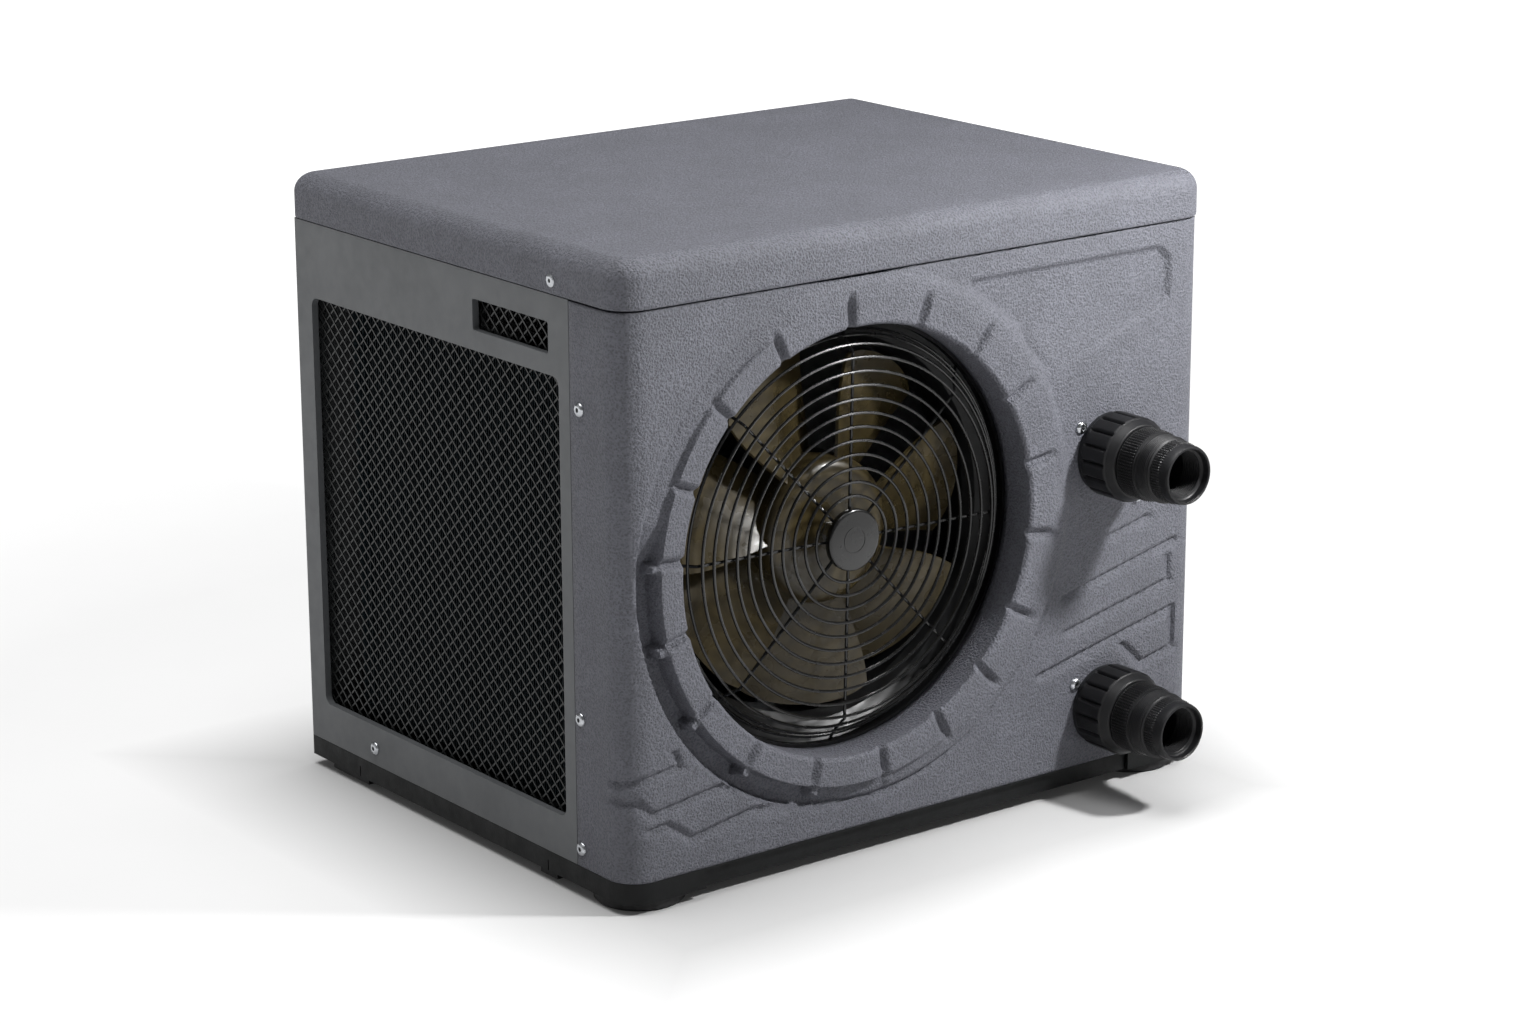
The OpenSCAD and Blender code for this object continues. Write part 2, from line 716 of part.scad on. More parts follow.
module filter_drier() {
    color("#a4632f") translate([drier_x, drier_y, drier_z]) rotate_extrude() polygon([[0, 0], [5, 0], [10, 10],
        [10, 60], [5, 70], [0, 70]]);
}

// A coil of half turns, each tilted so that the next one meets it
module wound_coil(turn_r, wire_r, rise, half_turns) {
    tilt = asin(rise / (2 * turn_r));
    for (i = [0:half_turns - 1]) translate([0, 0, (i + 0.5) * rise])
        rotate([0, i % 2 == 0 ? tilt : -tilt, 0]) rotate([0, 0, i % 2 == 0 ? 0 : 180])
            rotate_extrude(angle = 180) translate([turn_r, 0]) circle(r = wire_r, $fn = 24);
}

module capillary_tube() {
    turn_r = 16;
    rise = 2.6;
    color("#b8734a") {
        translate([drier_x - turn_r, drier_y, 206]) wound_coil(turn_r, 1, rise, 10);
        rod([drier_x, drier_y, drier_z + 70.05], [drier_x, drier_y, 206.2], 1, $fn = 24);
        rod([drier_x, drier_y, 206 + 10 * rise - 0.2], [drier_x, drier_y, 235.9], 1, $fn = 24);
    }
}

// ---------- water side ----------

module exchanger_shell() {
    color("#2a2b2d") difference() {
        translate([union_x, exchanger_y, base_z + 6]) cylinder(h = exchanger_top - base_z - 12, r = exchanger_r);
        translate([union_x, exchanger_y, base_z]) cylinder(h = exchanger_top, r = exchanger_r - exchanger_wall);
        for (z = [port_low_z, port_high_z]) forward(union_x, exchanger_y, z, 60, port_r + 0.05);
        translate([union_x, exchanger_y, 92]) rotate([-90, 0, 0]) cylinder(h = 60, r = 3.6);
    }
}

module exchanger_caps() {
    color("#1d1e20") difference() {
        for (z = [base_z, exchanger_top - 6]) translate([union_x, exchanger_y, z])
            cylinder(h = 6, r = exchanger_r + 2);
        translate([comp_x, exchanger_y + 16, exchanger_top - 7]) cylinder(h = 9, r = 4.1);
    }
}

module titanium_coil() {
    color("#8d8f91") translate([union_x, exchanger_y, 84]) wound_coil(30, 4, 7.5, 14);
}

module union_port(z) {
    difference() {
        union() {
            forward(union_x, exchanger_y - exchanger_r + exchanger_wall, z,
                exchanger_y - exchanger_r + exchanger_wall - front_y + thread_from, port_r);
            forward(union_x, front_y - 0.05, z, thread_from - 0.05, thread_r + 2.5);
            forward(union_x, front_y - thread_from + eps, z, thread_to - thread_from + eps, thread_r);
            children(0);
        }
        forward(union_x, exchanger_y, z, 120, port_bore_r);
        children(1);
    }
}

module upper_port() {
    color("#1a1b1c") union_port(port_high_z) { union() {} union() {} }
}

module lower_port() {
    color("#1a1b1c") union_port(port_low_z) {
        translate([union_x, front_y + switch_back, port_low_z]) cylinder(h = switch_boss_h, r = 11);
        translate([union_x, front_y + switch_back, port_low_z]) cylinder(h = switch_boss_h + 1, r = 8.6);
    }
}

module union_gaskets() {
    color("#0c0c0c") for (z = [port_low_z, port_high_z]) difference() {
        forward(union_x, front_y - thread_to, z, gasket_t, thread_r - 1);
        forward(union_x, front_y, z, 40, port_bore_r + 1);
    }
}

module union_nut(z) {
    ribs = 16;
    color("#18191a") difference() {
        union() {
            forward_turned(union_x, z, [[0, nut_from], [nut_r - 2.2, nut_from], [nut_r - 1.2, nut_from + 1],
                [nut_r - 1.2, nut_to], [nut_r - 2, nut_to + 0.5], [neck_r + 1.6, collar_to], [0, collar_to]]);
            for (k = [0:ribs - 1]) translate([union_x, front_y, z]) rotate([0, k * 360 / ribs, 0])
                translate([nut_r - 4, -nut_to + 1, -2.6]) cube([4, nut_to - nut_from - 1, 5.2]);
        }
        forward(union_x, front_y, z, nut_to, thread_r + 0.05);
        forward(union_x, front_y, z, 60, neck_r + gap);
    }
}

module upper_union_nut() { union_nut(port_high_z); }

module lower_union_nut() { union_nut(port_low_z); }

module hose_tail(z) {
    from = thread_to + gasket_t;
    color("#141516") difference() {
        forward_turned(union_x, z, [[0, from], [thread_r - 0.3, from], [thread_r - 0.3, from + flange_t],
            [neck_r, from + flange_t], [neck_r, 46], [neck_r - 1, 46.8], [neck_r - 1, 57], [tail_r + 0.6, 58],
            [tail_r, 59], [tail_r, tail_reach - 1], [tail_r - 1, tail_reach], [0, tail_reach]]);
        forward(union_x, front_y, z, tail_reach + 1, tail_bore_r);
    }
}

module upper_hose_tail() { hose_tail(port_high_z); }

module lower_hose_tail() { hose_tail(port_low_z); }

// ---------- flow switch ----------

module flow_switch() {
    z = port_low_z + switch_boss_h;
    color("#2d3033") {
        translate([union_x - 15, front_y + switch_back - 14, z]) cube([30, 30, 24]);
        translate([union_x, front_y + switch_back, z + 24]) cylinder(h = 8, r = 7);
    }
}

module flow_switch_pivot() {
    color("#c2c5c8") translate([union_x - 10, front_y + switch_back, port_low_z + pivot_h])
        rotate([0, 90, 0]) cylinder(h = 20, r = pivot_r, $fn = 48);
}

module flow_switch_paddle() {
    color("#d8d6cc") translate([union_x, front_y + switch_back, port_low_z]) difference() {
        union() {
            translate([-2.5, -0.8, 0]) cube([5, 1.6, pivot_h]);
            translate([0, 0.8, 0]) rotate([90, 0, 0]) cylinder(h = 1.6, r = 10);
            translate([-4, 0, pivot_h]) rotate([0, 90, 0]) cylinder(h = 8, r = 3.4);
        }
        translate([-10, 0, pivot_h]) rotate([0, 90, 0]) cylinder(h = 20, r = pivot_r + 0.05, $fn = 48);
    }
}

// ---------- control gear ----------

module control_box() {
    t = 1.5;
    color("#c4c7c9") difference() {
        translate([partition_x + sheet_t, box_y, box_z]) cube([box_w, box_d, box_h]);
        translate([partition_x + sheet_t + t, box_y + t, box_z + t]) cube([box_w - 2 * t, box_d - 2 * t, box_h]);
        translate([partition_x - 1, front_y + 150, 300]) rotate([0, 90, 0]) cylinder(h = 6, r = 7);
        translate([gland_x, box_y + box_d + 1, gland_z]) rotate([90, 0, 0]) cylinder(h = 4, r = 7);
        translate([comp_x + 10, box_y + 120, box_z - 1]) cylinder(h = 4, r = 7);
    }
}

module control_box_cover() {
    color("#c4c7c9") translate([partition_x + sheet_t, box_y, box_z + box_h + 0.1])
        cube([box_w + 1.5, box_d, 1.5]);
}

module control_board() {
    x = partition_x + 10;
    color("#1f6b3a") {
        translate([x, box_y + 12, box_z + 8]) cube([96, 130, 1.6]);
        for (sx = [6, 90], sy = [18, 136]) translate([x + sx, box_y + sy, box_z + 1.5]) cylinder(h = 6.6, r = 3);
        translate([x + 10, box_y + 24, box_z + 9.6]) cube([20, 28, 16]);
        translate([x + 36, box_y + 24, box_z + 9.6]) cube([20, 28, 16]);
        translate([x + 62, box_y + 22, box_z + 9.6]) cube([30, 40, 24]);
    }
}

module run_capacitor() {
    color("#8e9194") translate([partition_x + 34, box_y + 150, box_z + 22]) rotate([-90, 0, 0]) {
        cylinder(h = 64, r = 20);
    }
}

module terminal_block() {
    color("#e2e0d4") translate([partition_x + 57, box_y + 178, box_z + 1.6]) difference() {
        cube([44, 40, 18]);
        for (k = [0:3]) translate([6 + k * 11, 8, 10]) cylinder(h = 9, r = 3);
        for (k = [0:3]) translate([6 + k * 11, 32, 10]) cylinder(h = 9, r = 3);
    }
}

function button_places() = [for (k = [0:3]) [bezel_y + 16 + 17.5 * k, bezel_z + 12]];

module display_bezel() {
    color("#131416") difference() {
        union() {
            translate([half_w, bezel_y, bezel_z]) cube([1, bezel_w, bezel_h]);
            translate([half_w - 12, bezel_y + 2.1, bezel_z + 2.1]) cube([12, bezel_w - 4.2, bezel_h - 4.2]);
        }
        translate([half_w - 13, bezel_y + 4, bezel_z + 4]) cube([11, bezel_w - 8, bezel_h - 8]);
        translate([half_w - 3, bezel_y + 12, bezel_z + 24]) cube([6, bezel_w - 24, 22]);
        for (p = button_places()) translate([half_w - 4, p[0], p[1]]) rotate([0, 90, 0])
            cylinder(h = 8, r = button_r + button_clear);
    }
}

module display_window() {
    color("#20262b") translate([half_w - 1, bezel_y + 12.1, bezel_z + 24.1]) cube([1.8, bezel_w - 24.2, 21.8]);
}

module display_board() {
    color("#1f6b3a") translate([half_w - 11, bezel_y + 5, bezel_z + 5]) cube([1.6, bezel_w - 10, bezel_h - 10]);
}

module press_button(k) {
    p = button_places()[k];
    color("#3b3e42") translate([half_w, p[0], p[1]]) rotate([0, 90, 0]) {
        translate([0, 0, -5]) cylinder(h = 7, r = button_r);
        translate([0, 0, -5]) cylinder(h = 2.6, r = button_r + 1.2);
        translate([0, 0, -7.9]) cylinder(h = 3, r = 2);
    }
}

module power_button() { press_button(0); }

module mode_button() { press_button(1); }

module up_button() { press_button(2); }

module down_button() { press_button(3); }

module cable_gland() {
    color("#1a1b1c") difference() {
        union() {
            translate([gland_x, back_y + gland_reach, gland_z]) rotate([90, 0, 0])
                cylinder(h = gland_reach - 6, r = 9.5);
            translate([gland_x, back_y + 6, gland_z]) rotate([90, 0, 0])
                cylinder(h = 6 + sheet_t, r = 12, $fn = 6);
            translate([gland_x, back_y + eps, gland_z]) rotate([90, 0, 0]) cylinder(h = 12, r = 8);
            translate([gland_x, back_y - 2 * sheet_t - 0.2, gland_z]) rotate([90, 0, 0])
                cylinder(h = 5, r = 11.5, $fn = 6);
        }
        translate([gland_x, back_y + gland_reach + 1, gland_z]) rotate([90, 0, 0])
            cylinder(h = gland_reach + 20, r = cable_r);
    }
}

module inner_leads() {
    color("#2b2b2b") {
        pipe_run([[fan_x, front_y + 108, fan_z + motor_r + 4.1], [fan_x, front_y + 108, 300],
                  [fan_x, front_y + 150, 300], [partition_x + 8, front_y + 150, 300]], 3, 8);
        pipe_run([[comp_x + 10, comp_y - comp_r - 8, comp_z + 142.1], [comp_x + 10, comp_y - comp_r - 8, 258],
                  [comp_x + 10, box_y + 120, 258], [comp_x + 10, box_y + 120, box_z + 6]], 3, 8);
    }
}

// ---------- fasteners ----------

// A domed rivet head on a shank, pointing along +Z from a surface
module rivet(head_r, head_h, shank) {
    rotate_extrude() polygon([[0, -shank], [1.6, -shank], [1.6, 0], [head_r, 0], [head_r, head_h * 0.3],
        [head_r * 0.75, head_h * 0.8], [head_r * 0.4, head_h], [0, head_h]]);
}

module casing_rivets() {
    side = [[front_y + 42, 305], [front_y + 46, 114], [front_y + 47, 31.7], [front_y + 280, 31.7]];
    color("#c6c9cc") {
        for (p = side) {
            translate([-half_w, p[0], p[1]]) rotate([0, -90, 0]) rivet(4.3, 2, 3);
            translate([half_w, p[0], p[1]]) rotate([0, 90, 0]) rivet(4.3, 2, 3);
        }
        for (s = [-1, 1]) translate([s * (half_w + lid_overhang), front_y + 68, seam_z + 8.5])
            rotate([0, s * 90, 0]) rivet(4, 1, 2);
        for (s = [-1, 1], z = [31.7, 140, 249, seam_z - 12]) translate([s * (half_w - corner_r - 8), back_y, z])
            rotate([-90, 0, 0]) rivet(4.3, 2, 2);
        for (x = [-70, 80], z = [31.7, seam_z - 12]) translate([x, back_y - sheet_t - 0.1, z])
            rotate([-90, 0, 0]) rivet(4.3, 2, 1);
    }
}

module front_screws() {
    color("#c6c9cc") for (p = [[125, 226, 4.3], [124, 56, 4.3], [174, 172, 3.2]])
        translate([p[0], front_y, base_z + p[1]]) rotate([90, 0, 0]) rivet(p[2], 2.6, 2);
}

base_pan();
rubber_feet();
front_panel();
left_side_panel();
right_side_panel();
rear_panel();
top_lid();
partition_plate();
top_rail();
left_intake_mesh();
rear_intake_mesh();
fan_shroud();
fan_guard();
fan_rotor();
fan_shaft();
fan_hub_nut();
fan_motor();
fan_motor_bracket();
evaporator_tubes();
evaporator_fins();
evaporator_end_plates();
compressor();
compressor_grommets();
compressor_bolts();
compressor_terminal_cover();
suction_accumulator();
suction_pipe();
discharge_pipe();
liquid_pipe();
filter_drier();
capillary_tube();
exchanger_shell();
exchanger_caps();
titanium_coil();
upper_port();
lower_port();
union_gaskets();
upper_union_nut();
lower_union_nut();
upper_hose_tail();
lower_hose_tail();
flow_switch();
flow_switch_pivot();
flow_switch_paddle();
control_box();
control_box_cover();
control_board();
run_capacitor();
terminal_block();
display_bezel();
display_window();
display_board();
power_button();
mode_button();
up_button();
down_button();
cable_gland();
inner_leads();
casing_rivets();
front_screws();
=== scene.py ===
import json
import math

import bmesh
import bpy
import numpy as np
from mathutils import Matrix, Vector


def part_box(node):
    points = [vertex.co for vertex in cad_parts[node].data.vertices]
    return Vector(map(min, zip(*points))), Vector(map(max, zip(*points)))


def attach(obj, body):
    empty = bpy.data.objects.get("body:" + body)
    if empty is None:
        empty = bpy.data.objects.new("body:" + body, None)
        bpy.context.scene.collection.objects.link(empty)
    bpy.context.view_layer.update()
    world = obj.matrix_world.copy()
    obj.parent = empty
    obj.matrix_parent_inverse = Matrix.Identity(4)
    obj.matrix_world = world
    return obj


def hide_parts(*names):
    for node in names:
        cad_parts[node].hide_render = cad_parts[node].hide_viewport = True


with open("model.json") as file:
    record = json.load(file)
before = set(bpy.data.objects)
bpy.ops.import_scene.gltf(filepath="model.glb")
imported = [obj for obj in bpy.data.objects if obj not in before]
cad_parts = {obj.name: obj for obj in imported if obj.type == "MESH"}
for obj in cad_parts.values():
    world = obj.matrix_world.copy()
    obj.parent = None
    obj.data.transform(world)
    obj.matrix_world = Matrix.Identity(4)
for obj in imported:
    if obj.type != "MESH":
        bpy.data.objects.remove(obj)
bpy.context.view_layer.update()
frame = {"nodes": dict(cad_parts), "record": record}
nodes = frame["nodes"]
scene = bpy.context.scene
SLOT_OF = {row["node"]: row["material_slot"] for row in frame["record"]["subparts"]}


def node_box(name):
    """Low and high corners of a CAD node, in millimetres."""
    lo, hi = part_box(name)
    return np.array(lo) * 1000, np.array(hi) * 1000


# ---------- places, in millimetres, from the CAD frame ----------

lid_lo, lid_hi = node_box("top_lid")
side_lo = node_box("left_side_panel")[0]
front_hi = node_box("front_panel")[1]
guard_lo, guard_hi = node_box("fan_guard")
nut_lo, nut_hi = node_box("upper_union_nut")
low_nut_lo, low_nut_hi = node_box("lower_union_nut")

FRONT = lid_lo[1] + 1
BACK = lid_hi[1] - 1
HALF_W = -side_lo[0]
BASE_Z = side_lo[2] - 0.3
SEAM_Z = lid_lo[2]
TOP_Z = lid_hi[2]
CORNER_R = 19.0
RETURN_D = front_hi[1] - FRONT
FAN_X = (guard_lo[0] + guard_hi[0]) / 2
FAN_Z = (guard_lo[2] + guard_hi[2]) / 2
UNION_X = (nut_lo[0] + nut_hi[0]) / 2
UNION_HIGH = (nut_lo[2] + nut_hi[2]) / 2
UNION_LOW = (low_nut_lo[2] + low_nut_hi[2]) / 2
OPEN_R = 135.0


# ---------- mesh helpers ----------

class Shape:
    """Vertices and faces in millimetres, gathered before they become one mesh."""

    def __init__(self):
        self.verts, self.faces, self.count = [], [], 0

    def add(self, verts, faces):
        verts = np.asarray(verts, float).reshape(-1, 3)
        self.verts.append(verts)
        self.faces.extend([tuple(int(i) + self.count for i in f) for f in faces])
        self.count += len(verts)


def ramp(x, a, b):
    """0 below a, 1 above b and smooth in between."""
    t = np.clip((x - a) / (b - a), 0, 1)
    return t * t * (3 - 2 * t)


def build(name, shape, slot, body, stands_for=(), angle=38, face_out=True):
    """One mesh object from a shape, in its slot's material, riding on its body."""
    mesh = bpy.data.meshes.new(name)
    mesh.from_pydata((np.concatenate(shape.verts) * 0.001).tolist(), [], shape.faces)
    if face_out:
        bm = bmesh.new()
        bm.from_mesh(mesh)
        bmesh.ops.recalc_face_normals(bm, faces=bm.faces)
        bm.to_mesh(mesh)
        bm.free()
    mesh.polygons.foreach_set("use_smooth", [True] * len(mesh.polygons))
    mesh.set_sharp_from_angle(angle=math.radians(angle))
    mesh.materials.append(MATS[slot])
    ob = bpy.data.objects.new(name, mesh)
    scene.collection.objects.link(ob)
    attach(ob, body)
    if stands_for:
        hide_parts(*stands_for)
    return ob


def grid_faces(rows, cols, wrap_rows=False, wrap_cols=False):
    """Four-sided faces over a grid of points, closed on itself in either direction."""
    faces = []
    for i in range(rows if wrap_rows else rows - 1):
        a, b = i * cols, ((i + 1) % rows) * cols
        for j in range(cols if wrap_cols else cols - 1):
            k = (j + 1) % cols
            faces.append((a + j, a + k, b + k, b + j))
    return faces


def end_caps(rows, cols, flip=False):
    """Flat faces that close the first and last rings of a grid."""
    first = list(range(cols))
    last = [(rows - 1) * cols + j for j in first]
    return [tuple(first[::-1]), tuple(last)] if flip else [tuple(first), tuple(last[::-1])]


BOX_FACES = ((0, 3, 2, 1), (4, 5, 6, 7), (0, 1, 5, 4), (1, 2, 6, 5), (2, 3, 7, 6), (3, 0, 4, 7))


def turned_points(profile, cx, cz, n, wobble=None):
    """A profile of (radius, distance forward) turned about a forward axis."""
    p = np.array(profile, float)
    th = np.arange(n) * 2 * math.pi / n
    r, t = p[:, :1], p[:, 1:]
    rr = r + (wobble(th[None, :], r, t) if wobble else 0 * th[None, :])
    return np.stack([cx + rr * np.cos(th), FRONT - t + 0 * rr, cz + rr * np.sin(th)], -1)


def turned(shape, profile, cx, cz, n, wobble=None):
    """A closed profile turned into a hollow ring."""
    shape.add(turned_points(profile, cx, cz, n, wobble),
              grid_faces(len(profile), n, wrap_rows=True, wrap_cols=True))


def turned_solid(shape, profile, cx, cz, n):
    """An open profile whose two ends are closed by flat caps."""
    shape.add(turned_points(profile, cx, cz, n),
              grid_faces(len(profile), n, wrap_cols=True) + end_caps(len(profile), n))


def tube(shape, points, radius, closed=False, n=8):
    """A round rod along a line of points."""
    pts = np.asarray(points, float)
    if closed:
        tangent = np.roll(pts, -1, 0) - np.roll(pts, 1, 0)
    else:
        tangent = np.gradient(pts, axis=0)
    tangent /= np.linalg.norm(tangent, axis=1, keepdims=True)
    ref = np.array([0, 1.0, 0]) if abs(tangent[:, 1]).max() < 0.9 else np.array([0.31, 0.2, 0.93])
    u = np.cross(tangent, ref)
    u /= np.linalg.norm(u, axis=1, keepdims=True)
    v = np.cross(tangent, u)
    a = np.arange(n) * 2 * math.pi / n
    ring = u[:, None] * np.cos(a)[None, :, None] + v[:, None] * np.sin(a)[None, :, None]
    verts = pts[:, None] + radius * ring
    faces = grid_faces(len(pts), n, wrap_rows=closed, wrap_cols=True)
    if not closed:
        faces += end_caps(len(pts), n)
    shape.add(verts, faces)


def rounded_outline(half_x, y0, y1, front_r, rear_r, n):
    """Points round a rectangle with rounded corners, seen from above, anticlockwise."""
    corners = ((1, -1, front_r, -90), (1, 1, rear_r, 0), (-1, 1, rear_r, 90), (-1, -1, front_r, 180))
    pts = []
    for sx, sy, r, a0 in corners:
        cx, cy = sx * (half_x - r), (y1 - r if sy > 0 else y0 + r)
        for k in range(n + 1):
            a = math.radians(a0 + 90 * k / n)
            pts.append((cx + r * math.cos(a), cy + r * math.sin(a)))
    return np.array(pts)


# ---------- materials ----------

def srgb(r, g, b):
    """Linear colour from 0 to 255 display values."""
    return tuple((c / 255 / 12.92) if c / 255 <= 0.04045 else ((c / 255 + 0.055) / 1.055) ** 2.4
                 for c in (r, g, b)) + (1.0,)


class Nodes:
    """A material on one principled shader, with short names for the nodes that feed it."""

    def __init__(self, name):
        self.mat = bpy.data.materials.new(name)
        self.mat.use_nodes = True
        self.tree = self.mat.node_tree
        self.tree.nodes.clear()
        out = self.tree.nodes.new("ShaderNodeOutputMaterial")
        self.shader = self.tree.nodes.new("ShaderNodeBsdfPrincipled")
        self.link(self.shader.outputs["BSDF"], out.inputs["Surface"])
        self.coords = self.tree.nodes.new("ShaderNodeTexCoord").outputs["Object"]

    def link(self, a, b):
        self.tree.links.new(a, b)

    def node(self, kind, **values):
        n = self.tree.nodes.new(kind)
        for k, v in values.items():
            if k in n.inputs:
                n.inputs[k].default_value = v
            else:
                setattr(n, k, v)
        return n

    def stretched(self, sx, sy, sz):
        n = self.node("ShaderNodeMapping")
        n.inputs["Scale"].default_value = (sx, sy, sz)
        self.link(self.coords, n.inputs["Vector"])
        return n.outputs["Vector"]

    def noise(self, scale, detail=3.0, rough=0.5, distortion=0.0, vector=None):
        n = self.node("ShaderNodeTexNoise", Scale=scale, Detail=detail, Roughness=rough,
                      Distortion=distortion)
        self.link(vector or self.coords, n.inputs["Vector"])
        return n.outputs["Fac"]

    def cells(self, scale, smooth):
        n = self.node("ShaderNodeTexVoronoi", feature="SMOOTH_F1")
        n.inputs["Scale"].default_value = scale
        n.inputs["Smoothness"].default_value = smooth
        self.link(self.coords, n.inputs["Vector"])
        return n.outputs["Distance"]

    def span(self, value, lo, hi, to_lo, to_hi):
        """value from lo..hi carried to to_lo..to_hi."""
        n = self.node("ShaderNodeMapRange")
        for i, x in zip((1, 2, 3, 4), (lo, hi, to_lo, to_hi)):
            n.inputs[i].default_value = x
        self.link(value, n.inputs[0])
        return n.outputs[0]

    def math(self, op, a, b):
        n = self.node("ShaderNodeMath", operation=op)
        for i, x in enumerate((a, b)):
            if isinstance(x, (int, float)):
                n.inputs[i].default_value = x
            else:
                self.link(x, n.inputs[i])
        return n.outputs[0]

    def mix(self, fac, a, b):
        n = self.node("ShaderNodeMix", data_type="RGBA")
        self.link(fac, n.inputs[0])
        for sock, x in ((n.inputs[6], a), (n.inputs[7], b)):
            if isinstance(x, tuple):
                sock.default_value = x
            else:
                self.link(x, sock)
        return n.outputs[2]

    def bump(self, height, strength, distance, after=None):
        n = self.node("ShaderNodeBump", Strength=strength, Distance=distance)
        self.link(height, n.inputs["Height"])
        if after is not None:
            self.link(after, n.inputs["Normal"])
        return n.outputs["Normal"]

    def colour(self, value):
        self.link(value, self.shader.inputs["Base Color"])

    def rough(self, value):
        self.link(value, self.shader.inputs["Roughness"])

    def normal(self, value):
        self.link(value, self.shader.inputs["Normal"])

    def set(self, **values):
        """Constant values on the shader's own sockets."""
        for k, v in values.items():
            self.shader.inputs[k.replace("_", " ")].default_value = v


def leather_grey(name, dark, light):
    """Moulded plastic with a coarse wavy leather grain, whose low points are darkened as painted shade."""
    m = Nodes(name)
    cell = m.cells(680, 0.6)
    waves = m.noise(520, 3.0, 0.55, 1.6)
    fine = m.noise(1500, 2.0, 0.5)
    height = m.math("ADD", m.math("MULTIPLY", cell, 0.8), waves)
    tone = m.mix(m.span(m.noise(26, 4.0, 0.6), 0.3, 0.7, 0.0, 1.0), dark, light)
    # painted shade: the low points of the grain are mixed towards a darker grey
    shaded_pit = m.mix(m.span(height, 0.62, 1.0, 0.0, 1.0), tuple(c * 0.7 for c in dark[:3]) + (1,), tone)
    m.colour(shaded_pit)
    m.rough(m.span(fine, 0.3, 0.7, 0.5, 0.66))
    m.normal(m.bump(fine, 0.25, 0.0003, m.bump(height, 0.9, 0.00105)))
    m.set(Specular_IOR_Level=0.35)
    return m.mat


def coated(name, dark, light, rough=(0.42, 0.55), scale=900, strength=0.18, patch=20, metallic=0.0,
           coat=0.0, specular=0.35):
    """Powder coat or satin plastic: a fine orange peel with slow tone changes."""
    m = Nodes(name)
    peel = m.noise(scale, 2.0, 0.5, 0.2)
    m.colour(m.mix(m.span(m.noise(patch, 5.0, 0.6), 0.3, 0.7, 0.0, 1.0), dark, light))
    m.rough(m.span(m.noise(patch * 6, 3.0, 0.5), 0.3, 0.7, rough[0], rough[1]))
    m.normal(m.bump(peel, strength, 0.0003))
    m.set(Metallic=metallic, Coat_Weight=coat, Specular_IOR_Level=specular)
    return m.mat


def drawn_metal(name, dark, light):
    """Bare metal with fine drawing lines."""
    m = Nodes(name)
    lines = m.noise(1.0, 4.0, 0.6, 0.0, m.stretched(60, 60, 900))
    m.colour(m.mix(m.span(lines, 0.3, 0.7, 0.0, 1.0), dark, light))
    m.rough(m.span(m.noise(140, 3.0, 0.5), 0.3, 0.7, 0.2, 0.36))
    m.normal(m.bump(lines, 0.12, 0.0001))
    m.set(Metallic=1.0)
    return m.mat


def glossy_blade(name):
    """Dark bronze gloss moulding with flow streaks."""
    m = Nodes(name)
    streaks = m.noise(1.0, 5.0, 0.6, 0.8, m.stretched(60, 30, 60))
    m.colour(m.mix(m.span(streaks, 0.3, 0.7, 0.0, 1.0), srgb(40, 34, 19), srgb(60, 52, 32)))
    m.rough(m.span(m.noise(45, 3.0, 0.5), 0.3, 0.7, 0.22, 0.36))
    m.normal(m.bump(m.noise(34, 2.0, 0.5, 0.6), 0.2, 0.0008))
    m.set(Specular_IOR_Level=0.34, Coat_Weight=0.1, Coat_Roughness=0.12)
    return m.mat


def rubber(name, dark, light):
    """Dull rubber with a faint cloudiness."""
    m = Nodes(name)
    m.colour(m.mix(m.span(m.noise(60, 4.0), 0.3, 0.7, 0.0, 1.0), dark, light))
    m.rough(m.span(m.noise(300, 3.0), 0.3, 0.7, 0.55, 0.75))
    m.normal(m.bump(m.noise(1200, 2.0), 0.25, 0.0002))
    return m.mat


